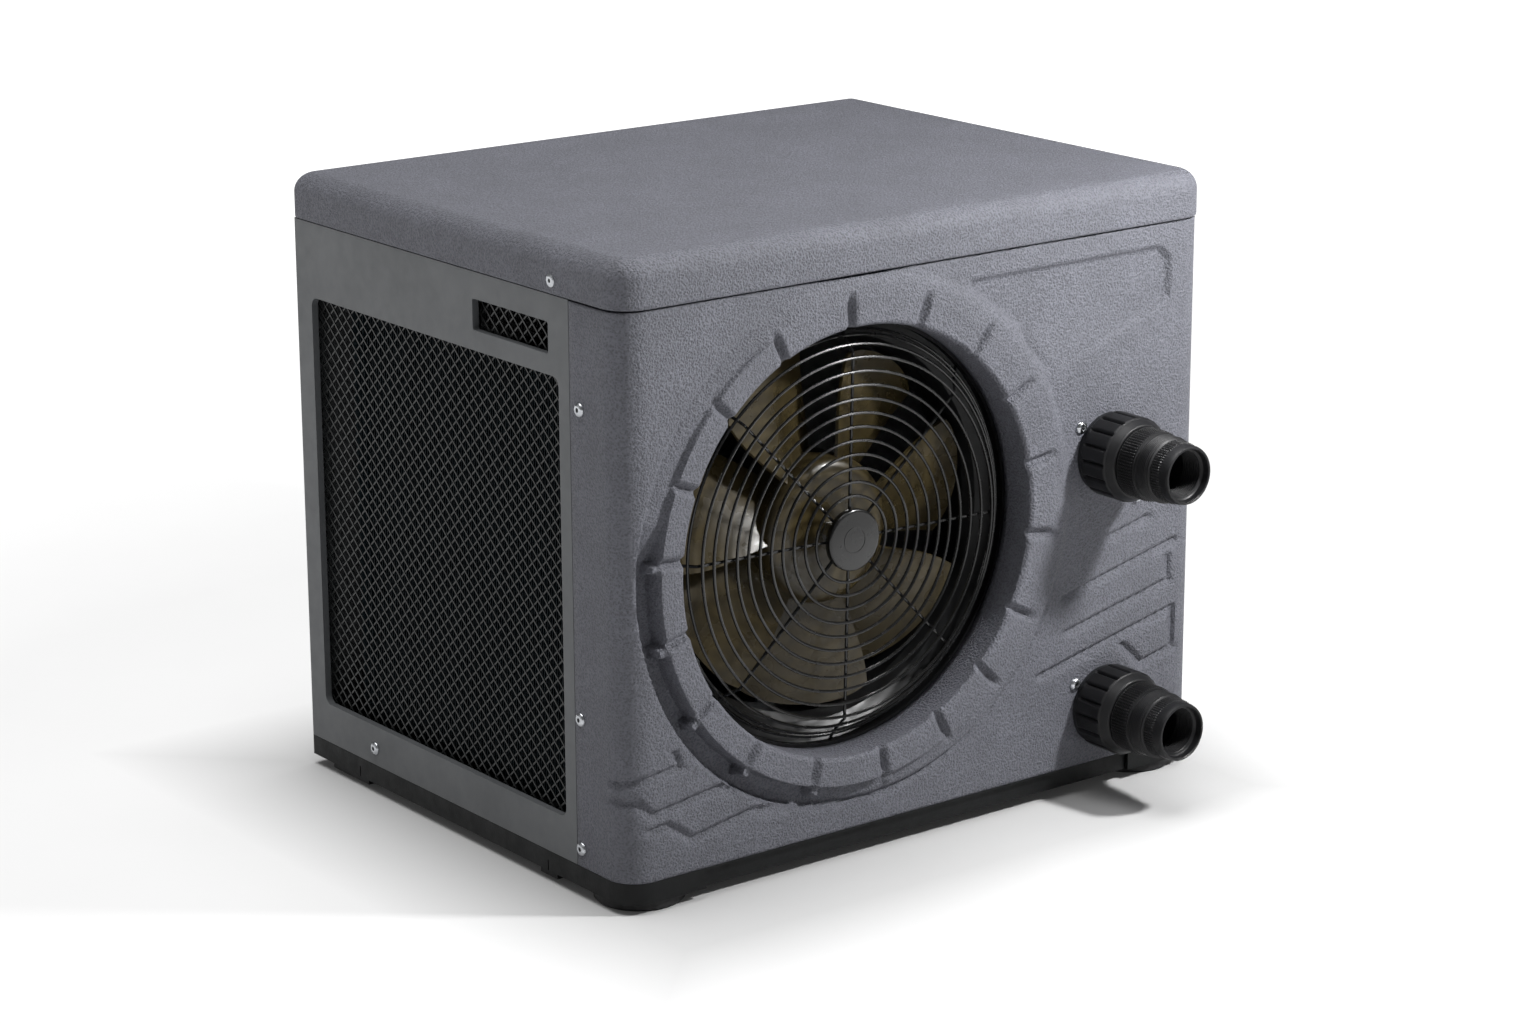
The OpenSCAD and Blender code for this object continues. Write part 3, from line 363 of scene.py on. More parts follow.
MATS = {
    "moulded_grey": leather_grey("moulded_grey", srgb(90, 91, 98), srgb(99, 100, 108)),
    "sheet_grey": coated("sheet_grey", srgb(80, 82, 84), srgb(88, 90, 92), (0.4, 0.52), 1100, 0.2),
    "base_black": coated("base_black", srgb(11, 12, 12), srgb(16, 17, 18),
                         (0.45, 0.6), 700, 0.35, specular=0.22),
    "foot_rubber": rubber("foot_rubber", srgb(13, 13, 14), srgb(20, 20, 21)),
    "zinc_sheet": coated("zinc_sheet", srgb(140, 143, 146), srgb(170, 173, 176),
                         (0.3, 0.45), 300, 0.1, 45, 0.8),
    "mesh_black": coated("mesh_black", srgb(16, 17, 17), srgb(24, 26, 26), (0.3, 0.42), 1500, 0.2),
    "shroud_black": coated("shroud_black", srgb(8, 8, 9), srgb(12, 13, 14),
                           (0.28, 0.42), 90, 0.2, specular=0.25),
    "guard_black": coated("guard_black", srgb(11, 11, 11), srgb(17, 17, 17), (0.2, 0.3), 900, 0.1, coat=0.3),
    "fan_bronze": glossy_blade("fan_bronze"),
    "bright_steel": drawn_metal("bright_steel", srgb(168, 170, 174), srgb(200, 203, 207)),
    "motor_grey": coated("motor_grey", srgb(44, 46, 49), srgb(56, 58, 62), (0.35, 0.5), 600, 0.25),
    "copper": drawn_metal("copper", srgb(150, 88, 56), srgb(188, 118, 80)),
    "fin_aluminium": coated("fin_aluminium", srgb(14, 26, 31), srgb(21, 36, 42),
                            (0.35, 0.5), 500, 0.15, 60, 0.4),
    "compressor_black": coated("compressor_black", srgb(22, 23, 25), srgb(30, 31, 33),
                               (0.2, 0.35), 260, 0.15),
    "cover_black": coated("cover_black", srgb(22, 23, 24), srgb(29, 30, 32), (0.4, 0.55), 900, 0.25),
    "pvc_black": coated("pvc_black", srgb(24, 25, 27), srgb(32, 33, 35), (0.35, 0.5), 500, 0.15),
    "titanium": drawn_metal("titanium", srgb(128, 130, 134), srgb(160, 162, 166)),
    "union_black": coated("union_black", srgb(18, 18, 19), srgb(25, 25, 27),
                          (0.4, 0.54), 800, 0.22, specular=0.25),
    "paddle_white": coated("paddle_white", srgb(205, 203, 194), srgb(222, 220, 212)),
    "board_green": coated("board_green", srgb(22, 84, 46), srgb(34, 108, 60), (0.25, 0.4), 160, 0.2),
    "capacitor_grey": drawn_metal("capacitor_grey", srgb(130, 133, 136), srgb(162, 165, 168)),
    "bezel_black": coated("bezel_black", srgb(16, 17, 19), srgb(22, 23, 25), (0.25, 0.4), 1200, 0.1),
    "window_dark": coated("window_dark", srgb(18, 24, 28), srgb(30, 38, 42), (0.06, 0.12), 300, 0.02),
    "button_grey": coated("button_grey", srgb(54, 57, 61), srgb(66, 69, 73), (0.4, 0.55), 1500, 0.3),
    "lead_rubber": rubber("lead_rubber", srgb(34, 34, 34), srgb(48, 48, 48)),
}
for node_name, ob in nodes.items():
    ob.data.materials.clear()
    ob.data.materials.append(MATS[SLOT_OF[node_name]])


# ---------- moulded front ----------

ARC = CORNER_R * math.pi / 2
FLAT = HALF_W - CORNER_R
PANEL_Z0, PANEL_Z1 = BASE_Z + 0.3, SEAM_Z - 0.9
WALL = 2.6
BLOCK_R, PATCH_R, COLLAR_R = 153.0, 159.0, 167.0
BLOCK_H, BEVEL_H, MOAT_DEEP = 3.0, 2.9, 11.0
GROOVE_DEEP, PLATE_DEEP, NOTCH_DEEP = 2.6, 3.6, 2.2
# angles round the fan, in degrees: the notches between blocks, then (angle, share) of each feature
NOTCHES = (94, 116, 137, 157, 174.6, 193.8, 214, 233.8, 255, 276.5, 296, 314, 332, 352.5, 11.6, 31.3,
           50.6, 71.6)
MOAT = ((0, 0), (108, 0), (125, .22), (166, .34), (178, 1), (246, 1), (264, .5), (284, .2), (304, 0),
        (360, 0))
ARC_LINE = ((0, 0), (246, 0), (258, 1), (328, 1), (346, 0), (360, 0))
# pressed lines and the sunk plate, as (across, up from the base)
GROOVES = (
    ((-236, 63), (-190, 69.5), (-193, 78)), ((-236, 52), (-220, 52), (-210, 43), (-160, 50), (-153, 46)),
    ((-211, 33), (-200, 35), (-181, 22), (-135, 30), (-108, 25)),
    ((152, 150), (186, 158)), ((115, 117), (209, 138.5)), ((118, 93), (205, 112), (205, 128)),
    ((95, 68), (209, 93), (209, 66), (182, 60), (166, 75)),
)
PLATE = ((31, 334), (191, 335), (200, 326), (200, 300), (192, 295), (100, 262), (77, 284), (73, 297),
         (33, 327))


def wrapped(s, z, h):
    """Place on the front's outer skin: s runs along the wall, h stands out of it."""
    s, z, h = np.broadcast_arrays(np.asarray(s, float), np.asarray(z, float), np.asarray(h, float))
    sign, a = np.sign(s), np.abs(s)
    turn = np.clip((a - FLAT) / CORNER_R, 0, math.pi / 2)
    nx, ny = np.sin(turn), -np.cos(turn)
    back = np.clip(a - FLAT - ARC, 0, None)
    x = np.minimum(a, FLAT) + (CORNER_R + h) * nx
    y = FRONT + CORNER_R + (CORNER_R + h) * ny + back
    return np.stack([sign * x, y, z], -1)


def from_segment(s, z, a, b):
    """Offsets from the nearest place on the segment a to b."""
    (x0, z0), (x1, z1) = a, b
    dx, dz = x1 - x0, z1 - z0
    t = np.clip(((s - x0) * dx + (z - z0) * dz) / (dx * dx + dz * dz), 0, 1)
    return s - x0 - t * dx, z - z0 - t * dz


def groove_depth(s, z, points):
    """A pressed line: a steep upper wall and a wide lower bevel."""
    depth, best = np.zeros(s.shape), np.full(s.shape, 1e9)
    for a, b in zip(points[:-1], points[1:]):
        ox, oz = from_segment(s, z, a, b)
        d = np.hypot(ox, oz)
        above = 0.3 * ox + 0.95 * oz > 0
        here = np.where(above, 1 - ramp(d, 0.4, 1.7), 1 - np.clip((d - 0.6) / 6.0, 0, 1))
        depth = np.where(d < best, here, depth)
        best = np.minimum(best, d)
    return depth


def inside_distance(s, z, points):
    """Signed distance to a polygon, negative inside."""
    loop = list(points) + [points[0]]
    d, inside = np.full(s.shape, 1e9), np.zeros(s.shape, bool)
    for a, b in zip(loop[:-1], loop[1:]):
        d = np.minimum(d, np.hypot(*from_segment(s, z, a, b)))
        (x0, z0), (x1, z1) = a, b
        with np.errstate(divide="ignore", invalid="ignore"):
            hit = s < (x1 - x0) * (z - z0) / (z1 - z0 + 1e-12) + x0
        inside ^= ((z0 > z) != (z1 > z)) & hit
    return np.where(inside, -d, d)


def from_notch(th, a):
    """Degrees from the notch at angle a, between -180 and 180."""
    return (th - a + 180) % 360 - 180


def notch_distance(r, th):
    """Distance sideways to the middle of the nearest notch."""
    nearest = np.full(r.shape, 1e9)
    for a in NOTCHES:
        off = from_notch(th, a)
        nearest = np.minimum(nearest, np.abs(np.sin(np.radians(off))) * r + 1e3 * (np.abs(off) > 60))
    return nearest


def face_relief(s, z, r):
    """Pressed lines and the sunk plate on the flat outside the collar."""
    relief = np.zeros(r.shape)
    for path in GROOVES:
        relief -= GROOVE_DEEP * groove_depth(s, z, path) * ramp(r, COLLAR_R, COLLAR_R + 2)
    fade = np.maximum(ramp(z, 262, 300), 1 - ramp(s, 78, 108))
    return relief - PLATE_DEEP * (1 - ramp(inside_distance(s, z, PLATE), -3.4, 0.4)) * fade


def collar_relief(r, th):
    """Ring outside the blocks: a sunk moat on the lower left, a raised bevel elsewhere."""
    moat_w = np.interp(th, *zip(*MOAT))
    moat = 1.5 * ramp(r, 161, COLLAR_R) - MOAT_DEEP
    bevel = BEVEL_H - 0.3 * np.clip((r - BLOCK_R) / 8, 0, 1) - 1.9 * ramp(r, 161, 167.4)
    collar = moat * moat_w + bevel * (1 - moat_w)
    for a in NOTCHES:
        if 170 < a < 280:
            # a small web bridges the moat beside each notch
            side = np.abs(np.radians(from_notch(th, a)) * r - 3.5)
            web = (1 - ramp(side, 2.4, 3.2)) * (1 - ramp(r, 158.5, 160.0))
            collar = collar * (1 - web) + 0.8 * web
    return collar - 2.2 * np.interp(th, *zip(*ARC_LINE)) * (1 - ramp(np.abs(r - 164.6), 0.7, 2.2))


def front_height(s, z_abs):
    """Relief of the moulded front above its flat face, in millimetres."""
    dx, dz = s - FAN_X, z_abs - FAN_Z
    r, th = np.hypot(dx, dz), np.degrees(np.arctan2(dz, dx)) % 360
    rim = ramp(r, 166.6, 168.4)
    h = collar_relief(r, th) * (1 - rim) + face_relief(s, z_abs - BASE_Z, r) * rim
    block = BLOCK_H - 1.3 * (1 - np.clip((r - OPEN_R) / 18, 0, 1))
    edge = 1 - ramp(r, BLOCK_R - 0.6, BLOCK_R + 1.6)
    h = h * (1 - edge) + block * edge
    cut = (np.clip(1 - (notch_distance(r, th) - 0.6) / 3.4, 0, 1)
           * (1 - np.clip((r - 148) / 10.5, 0, 1) ** 1.5))
    h = h + (np.minimum(h, -NOTCH_DEEP) - h) * cut
    h = h - 2.2 * (1 - np.clip((r - OPEN_R) / 2.6, 0, 1)) ** 2
    return h * (1 - ramp(np.abs(s), FLAT + ARC - 3, FLAT + ARC + 2))


def cut_grid(points, rows, cols):
    """Faces of a grid outside the patch circle, and the points added where its edges cross the circle."""
    grid = np.array(points)
    out = np.hypot(grid[:, 0] - FAN_X, grid[:, 1] - FAN_Z) > PATCH_R
    crossing, faces = {}, []

    def cross(i, j):
        key = (min(i, j), max(i, j))
        if key not in crossing:
            (x0, z0), (x1, z1) = points[i], points[j]
            px, pz, dx, dz = x0 - FAN_X, z0 - FAN_Z, x1 - x0, z1 - z0
            a, b, c = dx * dx + dz * dz, 2 * (px * dx + pz * dz), px * px + pz * pz - PATCH_R ** 2
            q = math.sqrt(max(b * b - 4 * a * c, 0))
            t = [v for v in ((-b - q) / (2 * a), (-b + q) / (2 * a)) if -1e-9 <= v <= 1 + 1e-9][0]
            crossing[key] = len(points)
            points.append((x0 + t * dx, z0 + t * dz))
        return crossing[key]

    for i in range(rows - 1):
        for j in range(cols - 1):
            k = i * cols + j
            quad = (k, k + 1, k + cols + 1, k + cols)
            keep = [out[q] for q in quad]
            if all(keep):
                faces.append(quad)
            elif any(keep):
                poly = []
                for p, q in zip(quad, quad[1:] + quad[:1]):
                    if out[p]:
                        poly.append(p)
                    if out[p] != out[q]:
                        poly.append(cross(p, q))
                faces.append(tuple(poly))
    return faces, crossing.values()


def front_moulding():
    step = 1.5
    flat_cols = np.arange(-FLAT, FLAT + 0.1, 2 * FLAT / round(2 * FLAT / step))
    arc_cols = np.linspace(0, ARC, 21)[1:]
    ret_cols = np.linspace(0, RETURN_D - CORNER_R, 6)[1:]
    side = np.concatenate([FLAT + arc_cols, FLAT + ARC + ret_cols])
    s = np.concatenate([-side[::-1], flat_cols, side])
    z = np.linspace(PANEL_Z0, PANEL_Z1, int(round((PANEL_Z1 - PANEL_Z0) / step)) + 1)
    points = [(a, b) for b in z for a in s]
    faces, crossings = cut_grid(points, len(z), len(s))

    # rings from the crossing points inwards to the edge of the opening
    ring0 = sorted(crossings, key=lambda i: math.atan2(points[i][1] - FAN_Z, points[i][0] - FAN_X))
    ang = np.array([math.atan2(points[i][1] - FAN_Z, points[i][0] - FAN_X) for i in ring0])
    radii = np.concatenate([[158.2, 157.4, 156.6, 155.6, 154.8, 154.0, 153.3, 152.6, 151.8, 150.5],
                            np.linspace(149, 139, 8), [138, 137.4, 136.8, 136.2, 135.7, 135.3, OPEN_R]])
    n = len(ang)
    rings = [np.array(ring0)]
    for r in radii:
        rings.append(np.arange(len(points), len(points) + n))
        points.extend(zip(FAN_X + r * np.cos(ang), FAN_Z + r * np.sin(ang)))
    sz = np.array(points)
    xyz = wrapped(sz[:, 0], sz[:, 1], front_height(sz[:, 0], sz[:, 1]))

    # the throat, straight back from the opening
    layers = [xyz]
    mouth_y = xyz[rings[-1]][:, 1]
    total = len(xyz)
    for depth in (0.8, 2.5, 6, 11, 16, 20, 24):
        r = OPEN_R if depth > 1 else OPEN_R - 0.05
        layers.append(np.stack([FAN_X + r * np.cos(ang), np.maximum(mouth_y + 0.5, FRONT + depth),
                                FAN_Z + r * np.sin(ang)], -1))
        rings.append(np.arange(total, total + n))
        total += n
    for a, b in zip(rings[:-1], rings[1:]):
        for i in range(n):
            k = (i + 1) % n
            faces.append((int(a[i]), int(a[k]), int(b[k]), int(b[i])))

    # points inside the patch circle are left out
    xyz = np.concatenate(layers)
    used = np.unique(np.concatenate([np.array(f) for f in faces]))
    remap = np.full(len(xyz), -1)
    remap[used] = np.arange(len(used))
    shape = Shape()
    shape.add(xyz[used], [tuple(remap[list(f)]) for f in faces])
    ob = build("front_moulding", shape, "moulded_grey", "casing", ["front_panel"], angle=60, face_out=False)
    solid = ob.modifiers.new("wall", "SOLIDIFY")
    solid.thickness, solid.offset, solid.use_rim = WALL * 0.001, -1, True


front_moulding()


# ---------- lid ----------

def lid():
    """A hollow cap whose inner lip hangs below the seam and closes the gap."""
    r, edge, rear_r = CORNER_R + 1, 13.0, 8.0
    y0, y1, half = lid_lo[1], lid_hi[1], lid_hi[0]
    lip_in, lip_out, lip_z = 7.4, 6.2, SEAM_Z - 3.6
    rings = [(lip_in, TOP_Z - 3.0), (lip_in, lip_z), (lip_out, lip_z), (lip_out, SEAM_Z + 0.2),
             (1.2, SEAM_Z + 0.2), (0.35, SEAM_Z + 0.55), (0.0, SEAM_Z + 1.4)]
    rings += [(0.0, z) for z in np.linspace(SEAM_Z + 4, TOP_Z - edge, 4)]
    rings += [(edge * (1 - math.cos(a)), TOP_Z - edge + edge * math.sin(a))
              for a in np.radians(np.linspace(6, 90, 15))]
    pts, shape = [], Shape()
    for inset, z in rings:
        o = rounded_outline(half - inset, y0 + inset, y1 - inset, max(r - inset, 3.0),
                            max(rear_r - 0.5 * inset, 2.0), 14)
        pts.append(np.column_stack([o, np.full(len(o), z)]))
    n = len(pts[0])
    shape.add(np.concatenate(pts),
              grid_faces(len(rings), n, wrap_cols=True) + end_caps(len(rings), n, flip=True))
    build("lid_moulding", shape, "moulded_grey", "casing", ["top_lid"], angle=50)


lid()


# ---------- fan guard ----------

def guard():
    wire, rim_n, spokes = 1.0, 144, 8
    spoke_d, bowl_r = 13.3, 114.5
    shape = Shape()
    for r in [27 + 8.6 * k for k in range(11)] + [120, 125, 128]:
        a = np.arange(rim_n) * 2 * math.pi / rim_n
        d = 11 + max(0.0, r - bowl_r)
        tube(shape, np.stack([FAN_X + r * np.cos(a), np.full(rim_n, FRONT + d), FAN_Z + r * np.sin(a)], -1),
             wire, closed=True)
    for k in range(spokes):
        a = math.radians(360 / spokes * k - 1.5)
        path = [(16.0, spoke_d)] + [(r, spoke_d) for r in np.linspace(30, 112, 6)]
        path += [(115.5 + t * 14.5, spoke_d + 12.7 * t + 1.2 * math.sin(math.pi * t))
                 for t in np.linspace(0, 1, 7)]
        path += [(132.2, 27.2)]
        tube(shape, [(FAN_X + r * math.cos(a), FRONT + d, FAN_Z + r * math.sin(a)) for r, d in path], wire)
    disc = [(0.6, -7.0), (17.6, -7.0), (18.8, -7.25), (19.4, -7.9), (19.5, -9.0), (19.4, -11.6),
            (18.8, -12.0), (0.6, -12.0)]
    turned_solid(shape, disc, FAN_X, FAN_Z, 72)
    turned(shape, [(7.6, -6.75), (8.5, -6.75), (8.5, -7.3), (7.6, -7.3)], FAN_X, FAN_Z, 48)
    build("guard_wires", shape, "guard_black", "casing", ["fan_guard"])


guard()


# ---------- fan ----------

BLADE_LEADS = (30, -22, -73, -126, 184, 133, 81)
BLADE_ROOT, BLADE_TIP, BLADE_HALF_T = 45.5, 113.6, 1.0


def blade(shape, lead):
    """One swept blade, whose leading edge starts at the angle lead."""
    nt, nr = 17, 15
    mid = np.zeros((nr, nt, 3))
    for i, f in enumerate(np.linspace(0, 1, nr)):
        r = BLADE_ROOT + f * (BLADE_TIP - BLADE_ROOT)
        span = 50 - 7 * f
        sweep = 3 * math.sin(math.pi * f * 0.9) - 1
        for j, g in enumerate(np.linspace(0, 1, nt)):
            round_tip = 3.2 * (abs(2 * g - 1) ** 5) if f > 0.98 else 0
            a = math.radians(lead + sweep - span * g)
            depth = 36 + 27 * g ** 0.9 - 5.0 * math.sin(math.pi * g) * (0.4 + 0.6 * f)
            rr = r - round_tip
            mid[i, j] = (FAN_X + rr * math.cos(a), FRONT + depth, FAN_Z + rr * math.sin(a))
    nrm = np.cross(np.gradient(mid, axis=0), np.gradient(mid, axis=1))
    nrm /= np.linalg.norm(nrm, axis=2, keepdims=True)
    m, t = nr * nt, BLADE_HALF_T
    sheet = grid_faces(nr, nt)
    faces = sheet + [tuple(m + q for q in f[::-1]) for f in sheet]
    rim = ([(0, j) for j in range(nt)] + [(i, nt - 1) for i in range(1, nr)]
           + [(nr - 1, j) for j in range(nt - 2, -1, -1)] + [(i, 0) for i in range(nr - 2, 0, -1)])
    ids = [i * nt + j for i, j in rim]
    faces += [(a, b, b + m, a + m) for a, b in zip(ids, ids[1:] + ids[:1])]
    shape.add(np.concatenate([(mid + t * nrm).reshape(-1, 3), (mid - t * nrm).reshape(-1, 3)]), faces)


def fan():
    shape = Shape()
    hub = [(0.5, -31.0), (30, -31.0), (38, -31.3), (42.5, -32.6), (45.5, -35.2), (46.8, -39), (47, -42),
           (47, -69), (44.5, -69), (44.5, -41), (42, -36), (36, -34), (11, -33.6), (11, -65), (0.5, -65)]
    turned_solid(shape, hub, FAN_X, FAN_Z, 96)
    for lead in BLADE_LEADS:
        blade(shape, lead)
    build("fan_wheel", shape, "fan_bronze", "fan", ["fan_rotor"], angle=45)


fan()


# ---------- unions ----------

def nut(name, cz, body, node):
    """Union nut with ribs round its grip and a bevelled mouth."""
    ribs, rib_deep = 16, 2.1

    def ribbed(th, r, t):
        phase = (th * ribs / (2 * math.pi)) % 1.0
        tooth = ramp(np.abs(phase - 0.5), 0.5, 0.34)
        zone = ramp(t, 3.2, 5.4) * (1 - ramp(t, 23.4, 25.0)) * (r > 25)
        return -rib_deep * (1 - tooth) * zone

    profile = [(24.0, 3.0), (26.2, 3.0), (27.2, 3.5), (27.5, 4.2), (27.5, 5.5), (27.5, 7), (27.5, 14),
               (27.5, 21), (27.5, 22.6), (27.5, 23.6), (27.4, 24.4), (27.0, 25.0), (26.4, 25.4),
               (26.2, 26.1), (25.6, 27.2), (24.4, 29.6), (23.8, 30.6), (23.2, 31.0), (22.4, 31.0),
               (22.4, 25.6), (24.0, 25.5)]
    shape = Shape()
    turned(shape, profile, UNION_X, cz, ribs * 18, ribbed)
    build(name, shape, "union_black", body, [node], angle=42)


def barbs(start, count, pitch, crest, root, land, foot, end):
    """Stepped rings along a profile: a land at the crest radius, then a dip to the root radius."""
    profile = []
    for k in range(count):
        t = start + k * pitch
        profile += [(crest, t), (crest, t + land), (root, t + foot), (root, t + end)]
    return profile


def tail(name, cz, node):
    """Stepped hose tail with barbs, a toothed grip on two bands and a grooved bore."""
    def serrated(th, r, t):
        ring = ((t > 32.2) & (t < 45.6) & (r > 20)) * 1.0
        end = ((t > 59.4) & (t < 66.5) & (r > 18)) * 1.0
        return (ring * 0.5 + end * 0.35) * np.cos(th * 72)

    profile = [(14.5, 22.4), (23.6, 22.4), (23.6, 25.2), (22.0, 25.2), (22.0, 31.8)]
    profile += barbs(32.2, 9, 1.48, 22.5, 21.75, 0.55, 0.85, 1.3)
    profile += [(22.3, 45.6), (22.2, 46.2), (20.9, 46.6), (20.6, 47.4), (21.4, 48.0)]
    profile += barbs(48.6, 6, 1.35, 21.5, 20.95, 0.5, 0.8, 1.2)
    profile += [(21.2, 56.9), (20.4, 57.3), (20.3, 57.9), (20.9, 58.3), (20.3, 58.8), (19.5, 59.2)]
    profile += barbs(59.6, 5, 1.4, 19.7, 19.15, 0.5, 0.8, 1.25)
    profile += [(19.0, 66.8), (19.0, 71.6), (18.8, 72.7), (18.4, 73.7), (17.8, 74.0), (17.2, 74.0),
                (16.8, 73.6), (16.6, 72.4), (16.5, 69.4), (15.9, 68.8), (14.9, 68.5)]
    profile += barbs(68.0, 10, -1.6, 14.5, 15.0, -0.7, -0.95, -1.35)
    shape = Shape()
    turned(shape, profile, UNION_X, cz, 336, serrated)
    build(name, shape, "union_black", "casing", [node], angle=34)


nut("upper_nut_ribbed", UNION_HIGH, "upper_nut", "upper_union_nut")
nut("lower_nut_ribbed", UNION_LOW, "lower_nut", "lower_union_nut")
tail("upper_tail_ribbed", UNION_HIGH, "upper_hose_tail")
tail("lower_tail_ribbed", UNION_LOW, "lower_hose_tail")


# ---------- intake meshes ----------

def screen_bar(shape, place, corners, d0, d1):
    """A flat bar with four corners in the screen's plane, from depth d0 to d1."""
    shape.add([place(u, v, d) for d in (d0, d1) for u, v in corners], BOX_FACES)


def strand_screen(name, node, place, w, h):
    """Expanded diamond mesh: two families of slanting strands with a flat border."""
    pitch_w, pitch_h, half, deep, lap, border = 10.0, 9.0, 0.5, 0.55, 0.15, 3
    shape = Shape()
    slope = pitch_h / pitch_w
    for sign, start, end in ((1, -h / slope, w), (-1, 0.0, w + h / slope)):
        a = math.atan2(slope * sign, 1)
        nu, nv = -math.sin(a) * half, math.cos(a) * half
        d0, d1 = (-deep, lap) if sign > 0 else (-lap, deep)
        k = start - (start % pitch_w)
        while k < end:
            # the strand crosses v = 0 at u = k
            if sign > 0:
                u0, u1 = max(k, 0.0), min(w, k + h / slope)
                v0, v1 = (u0 - k) * slope, (u1 - k) * slope
            else:
                u0, u1 = max(k - h / slope, 0.0), min(w, k)
                v0, v1 = (k - u0) * slope, (k - u1) * slope
            if u1 - u0 > 1.0:
                screen_bar(shape, place, ((u0 - nu, v0 - nv), (u1 - nu, v1 - nv), (u1 + nu, v1 + nv),
                                          (u0 + nu, v0 + nv)), d0, d1)
            k += pitch_w
    for u0, v0, u1, v1 in ((0, 0, w, border), (0, h - border, w, h), (0, border, border, h - border),
                           (w - border, border, w, h - border)):
        screen_bar(shape, place, ((u0, v0), (u1, v0), (u1, v1), (u0, v1)), -0.7, 0.7)
    build(name, shape, "mesh_black", "casing", [node])


m_lo, m_hi = node_box("left_intake_mesh")
m_x = (m_lo[0] + m_hi[0]) / 2
strand_screen("left_mesh_strands", "left_intake_mesh", lambda u, v, d: (m_x + d, m_lo[1] + u, m_lo[2] + v),
              m_hi[1] - m_lo[1], m_hi[2] - m_lo[2])
b_lo, b_hi = node_box("rear_intake_mesh")
b_y = (b_lo[1] + b_hi[1]) / 2
strand_screen("rear_mesh_strands", "rear_intake_mesh", lambda u, v, d: (b_lo[0] + u, b_y + d, b_lo[2] + v),
              b_hi[0] - b_lo[0], b_hi[2] - b_lo[2])


# ---------- fins ----------

FIN_T, FIN_PITCH = 0.35, 2.4


def fin_prism(shape, a, b, side):
    """A thin corrugated fin from a to b, which stands up from z0 to z1 and bows out to one side."""
    (ax, ay, z0), (bx, by, z1) = a, b
    t, bow = np.array(side) * FIN_T, np.array(side) * 2.1
    mid = np.array([(ax + bx) / 2, (ay + by) / 2]) + bow
    ring = [(ax, ay), tuple(mid), (bx, by), (bx + t[0], by + t[1]), tuple(mid + t), (ax + t[0], ay + t[1])]
    pts = [(x, y, z) for z in (z0, z1) for x, y in ring]
    faces = [(0, 1, 7, 6), (1, 2, 8, 7), (2, 3, 9, 8), (3, 4, 10, 9), (4, 5, 11, 10), (5, 0, 6, 11),
             (5, 4, 1, 0), (4, 3, 2, 1), (6, 7, 10, 11), (7, 8, 9, 10)]
    shape.add(pts, faces)


def fins():
    """Straight runs along the left and the rear, with plain fins fanned round the bend between them."""
    lo, hi = node_box("evaporator_fins")
    depth, bend, fan_w = 22.0, 41.0, 0.2
    px, py = lo[0] + depth / 2 + bend, hi[1] - depth / 2 - bend
    z0, z1 = lo[2], hi[2]
    shape = Shape()
    y = lo[1]
    while y < py - 2.5:
        fin_prism(shape, (lo[0], y, z0), (lo[0] + depth, y, z1), (0, 1))
        y += FIN_PITCH
    x = px
    while x < hi[0] - 2.5:
        fin_prism(shape, (x, hi[1] - depth, z0), (x, hi[1], z1), (1, 0))
        x += FIN_PITCH
    near, far = bend - depth / 2, bend + depth / 2
    for a in np.arange(3, 90, 4.0):
        c, s = math.cos(math.radians(180 - a)), math.sin(math.radians(180 - a))
        ring = ((near, -fan_w), (far, -fan_w), (far, fan_w), (near, fan_w))
        shape.add([(px + r * c - w * s, py + r * s + w * c, z) for z in (z0, z1) for r, w in ring], BOX_FACES)
    build("fin_stack", shape, "fin_aluminium", "casing", ["evaporator_fins"])


fins()


# ---------- rivets and screws ----------

def rivet_at(heads, shade_plugs, origin, outward, head_r, head_h):
    """A domed head with a hollow middle, and a dark plug in it that is painted shade in the hollow; on rivets
    it also stands for the stem. Screws share the shape.
    """
    n = 28
    o, w = np.array(origin, float), np.array(outward, float)
    u = np.cross(w, [0, 0, 1.0]) if abs(w[2]) < 0.9 else np.array([1.0, 0, 0])
    u /= np.linalg.norm(u)
    v = np.cross(w, u)
    a = np.arange(n) * 2 * math.pi / n
    circle = u[None] * np.cos(a)[:, None] + v[None] * np.sin(a)[:, None]
    hole = head_r * 0.32
    prof = [(0.9 * hole, -1.2), (1.5, -1.2), (1.5, 0.0), (head_r, 0.0), (head_r, 0.25 * head_h),
            (0.93 * head_r, 0.52 * head_h), (0.78 * head_r, 0.78 * head_h), (0.58 * head_r, 0.95 * head_h),
            (1.25 * hole, head_h), (hole, 0.93 * head_h), (0.9 * hole, 0.5 * head_h)]
    heads.add(np.concatenate([o + r * circle + t * w for r, t in prof]), grid_faces(len(prof), n, True, True))
    # painted shade: a dark plug fills the hollow of the head
    prof = [(0.88 * hole, -1.0), (0.88 * hole, 0.55 * head_h), (0.6 * hole, 0.66 * head_h)]
    shade_plugs.add(np.concatenate([o + r * circle + t * w for r, t in prof]),
              grid_faces(len(prof), n, wrap_cols=True) + end_caps(len(prof), n, flip=True))


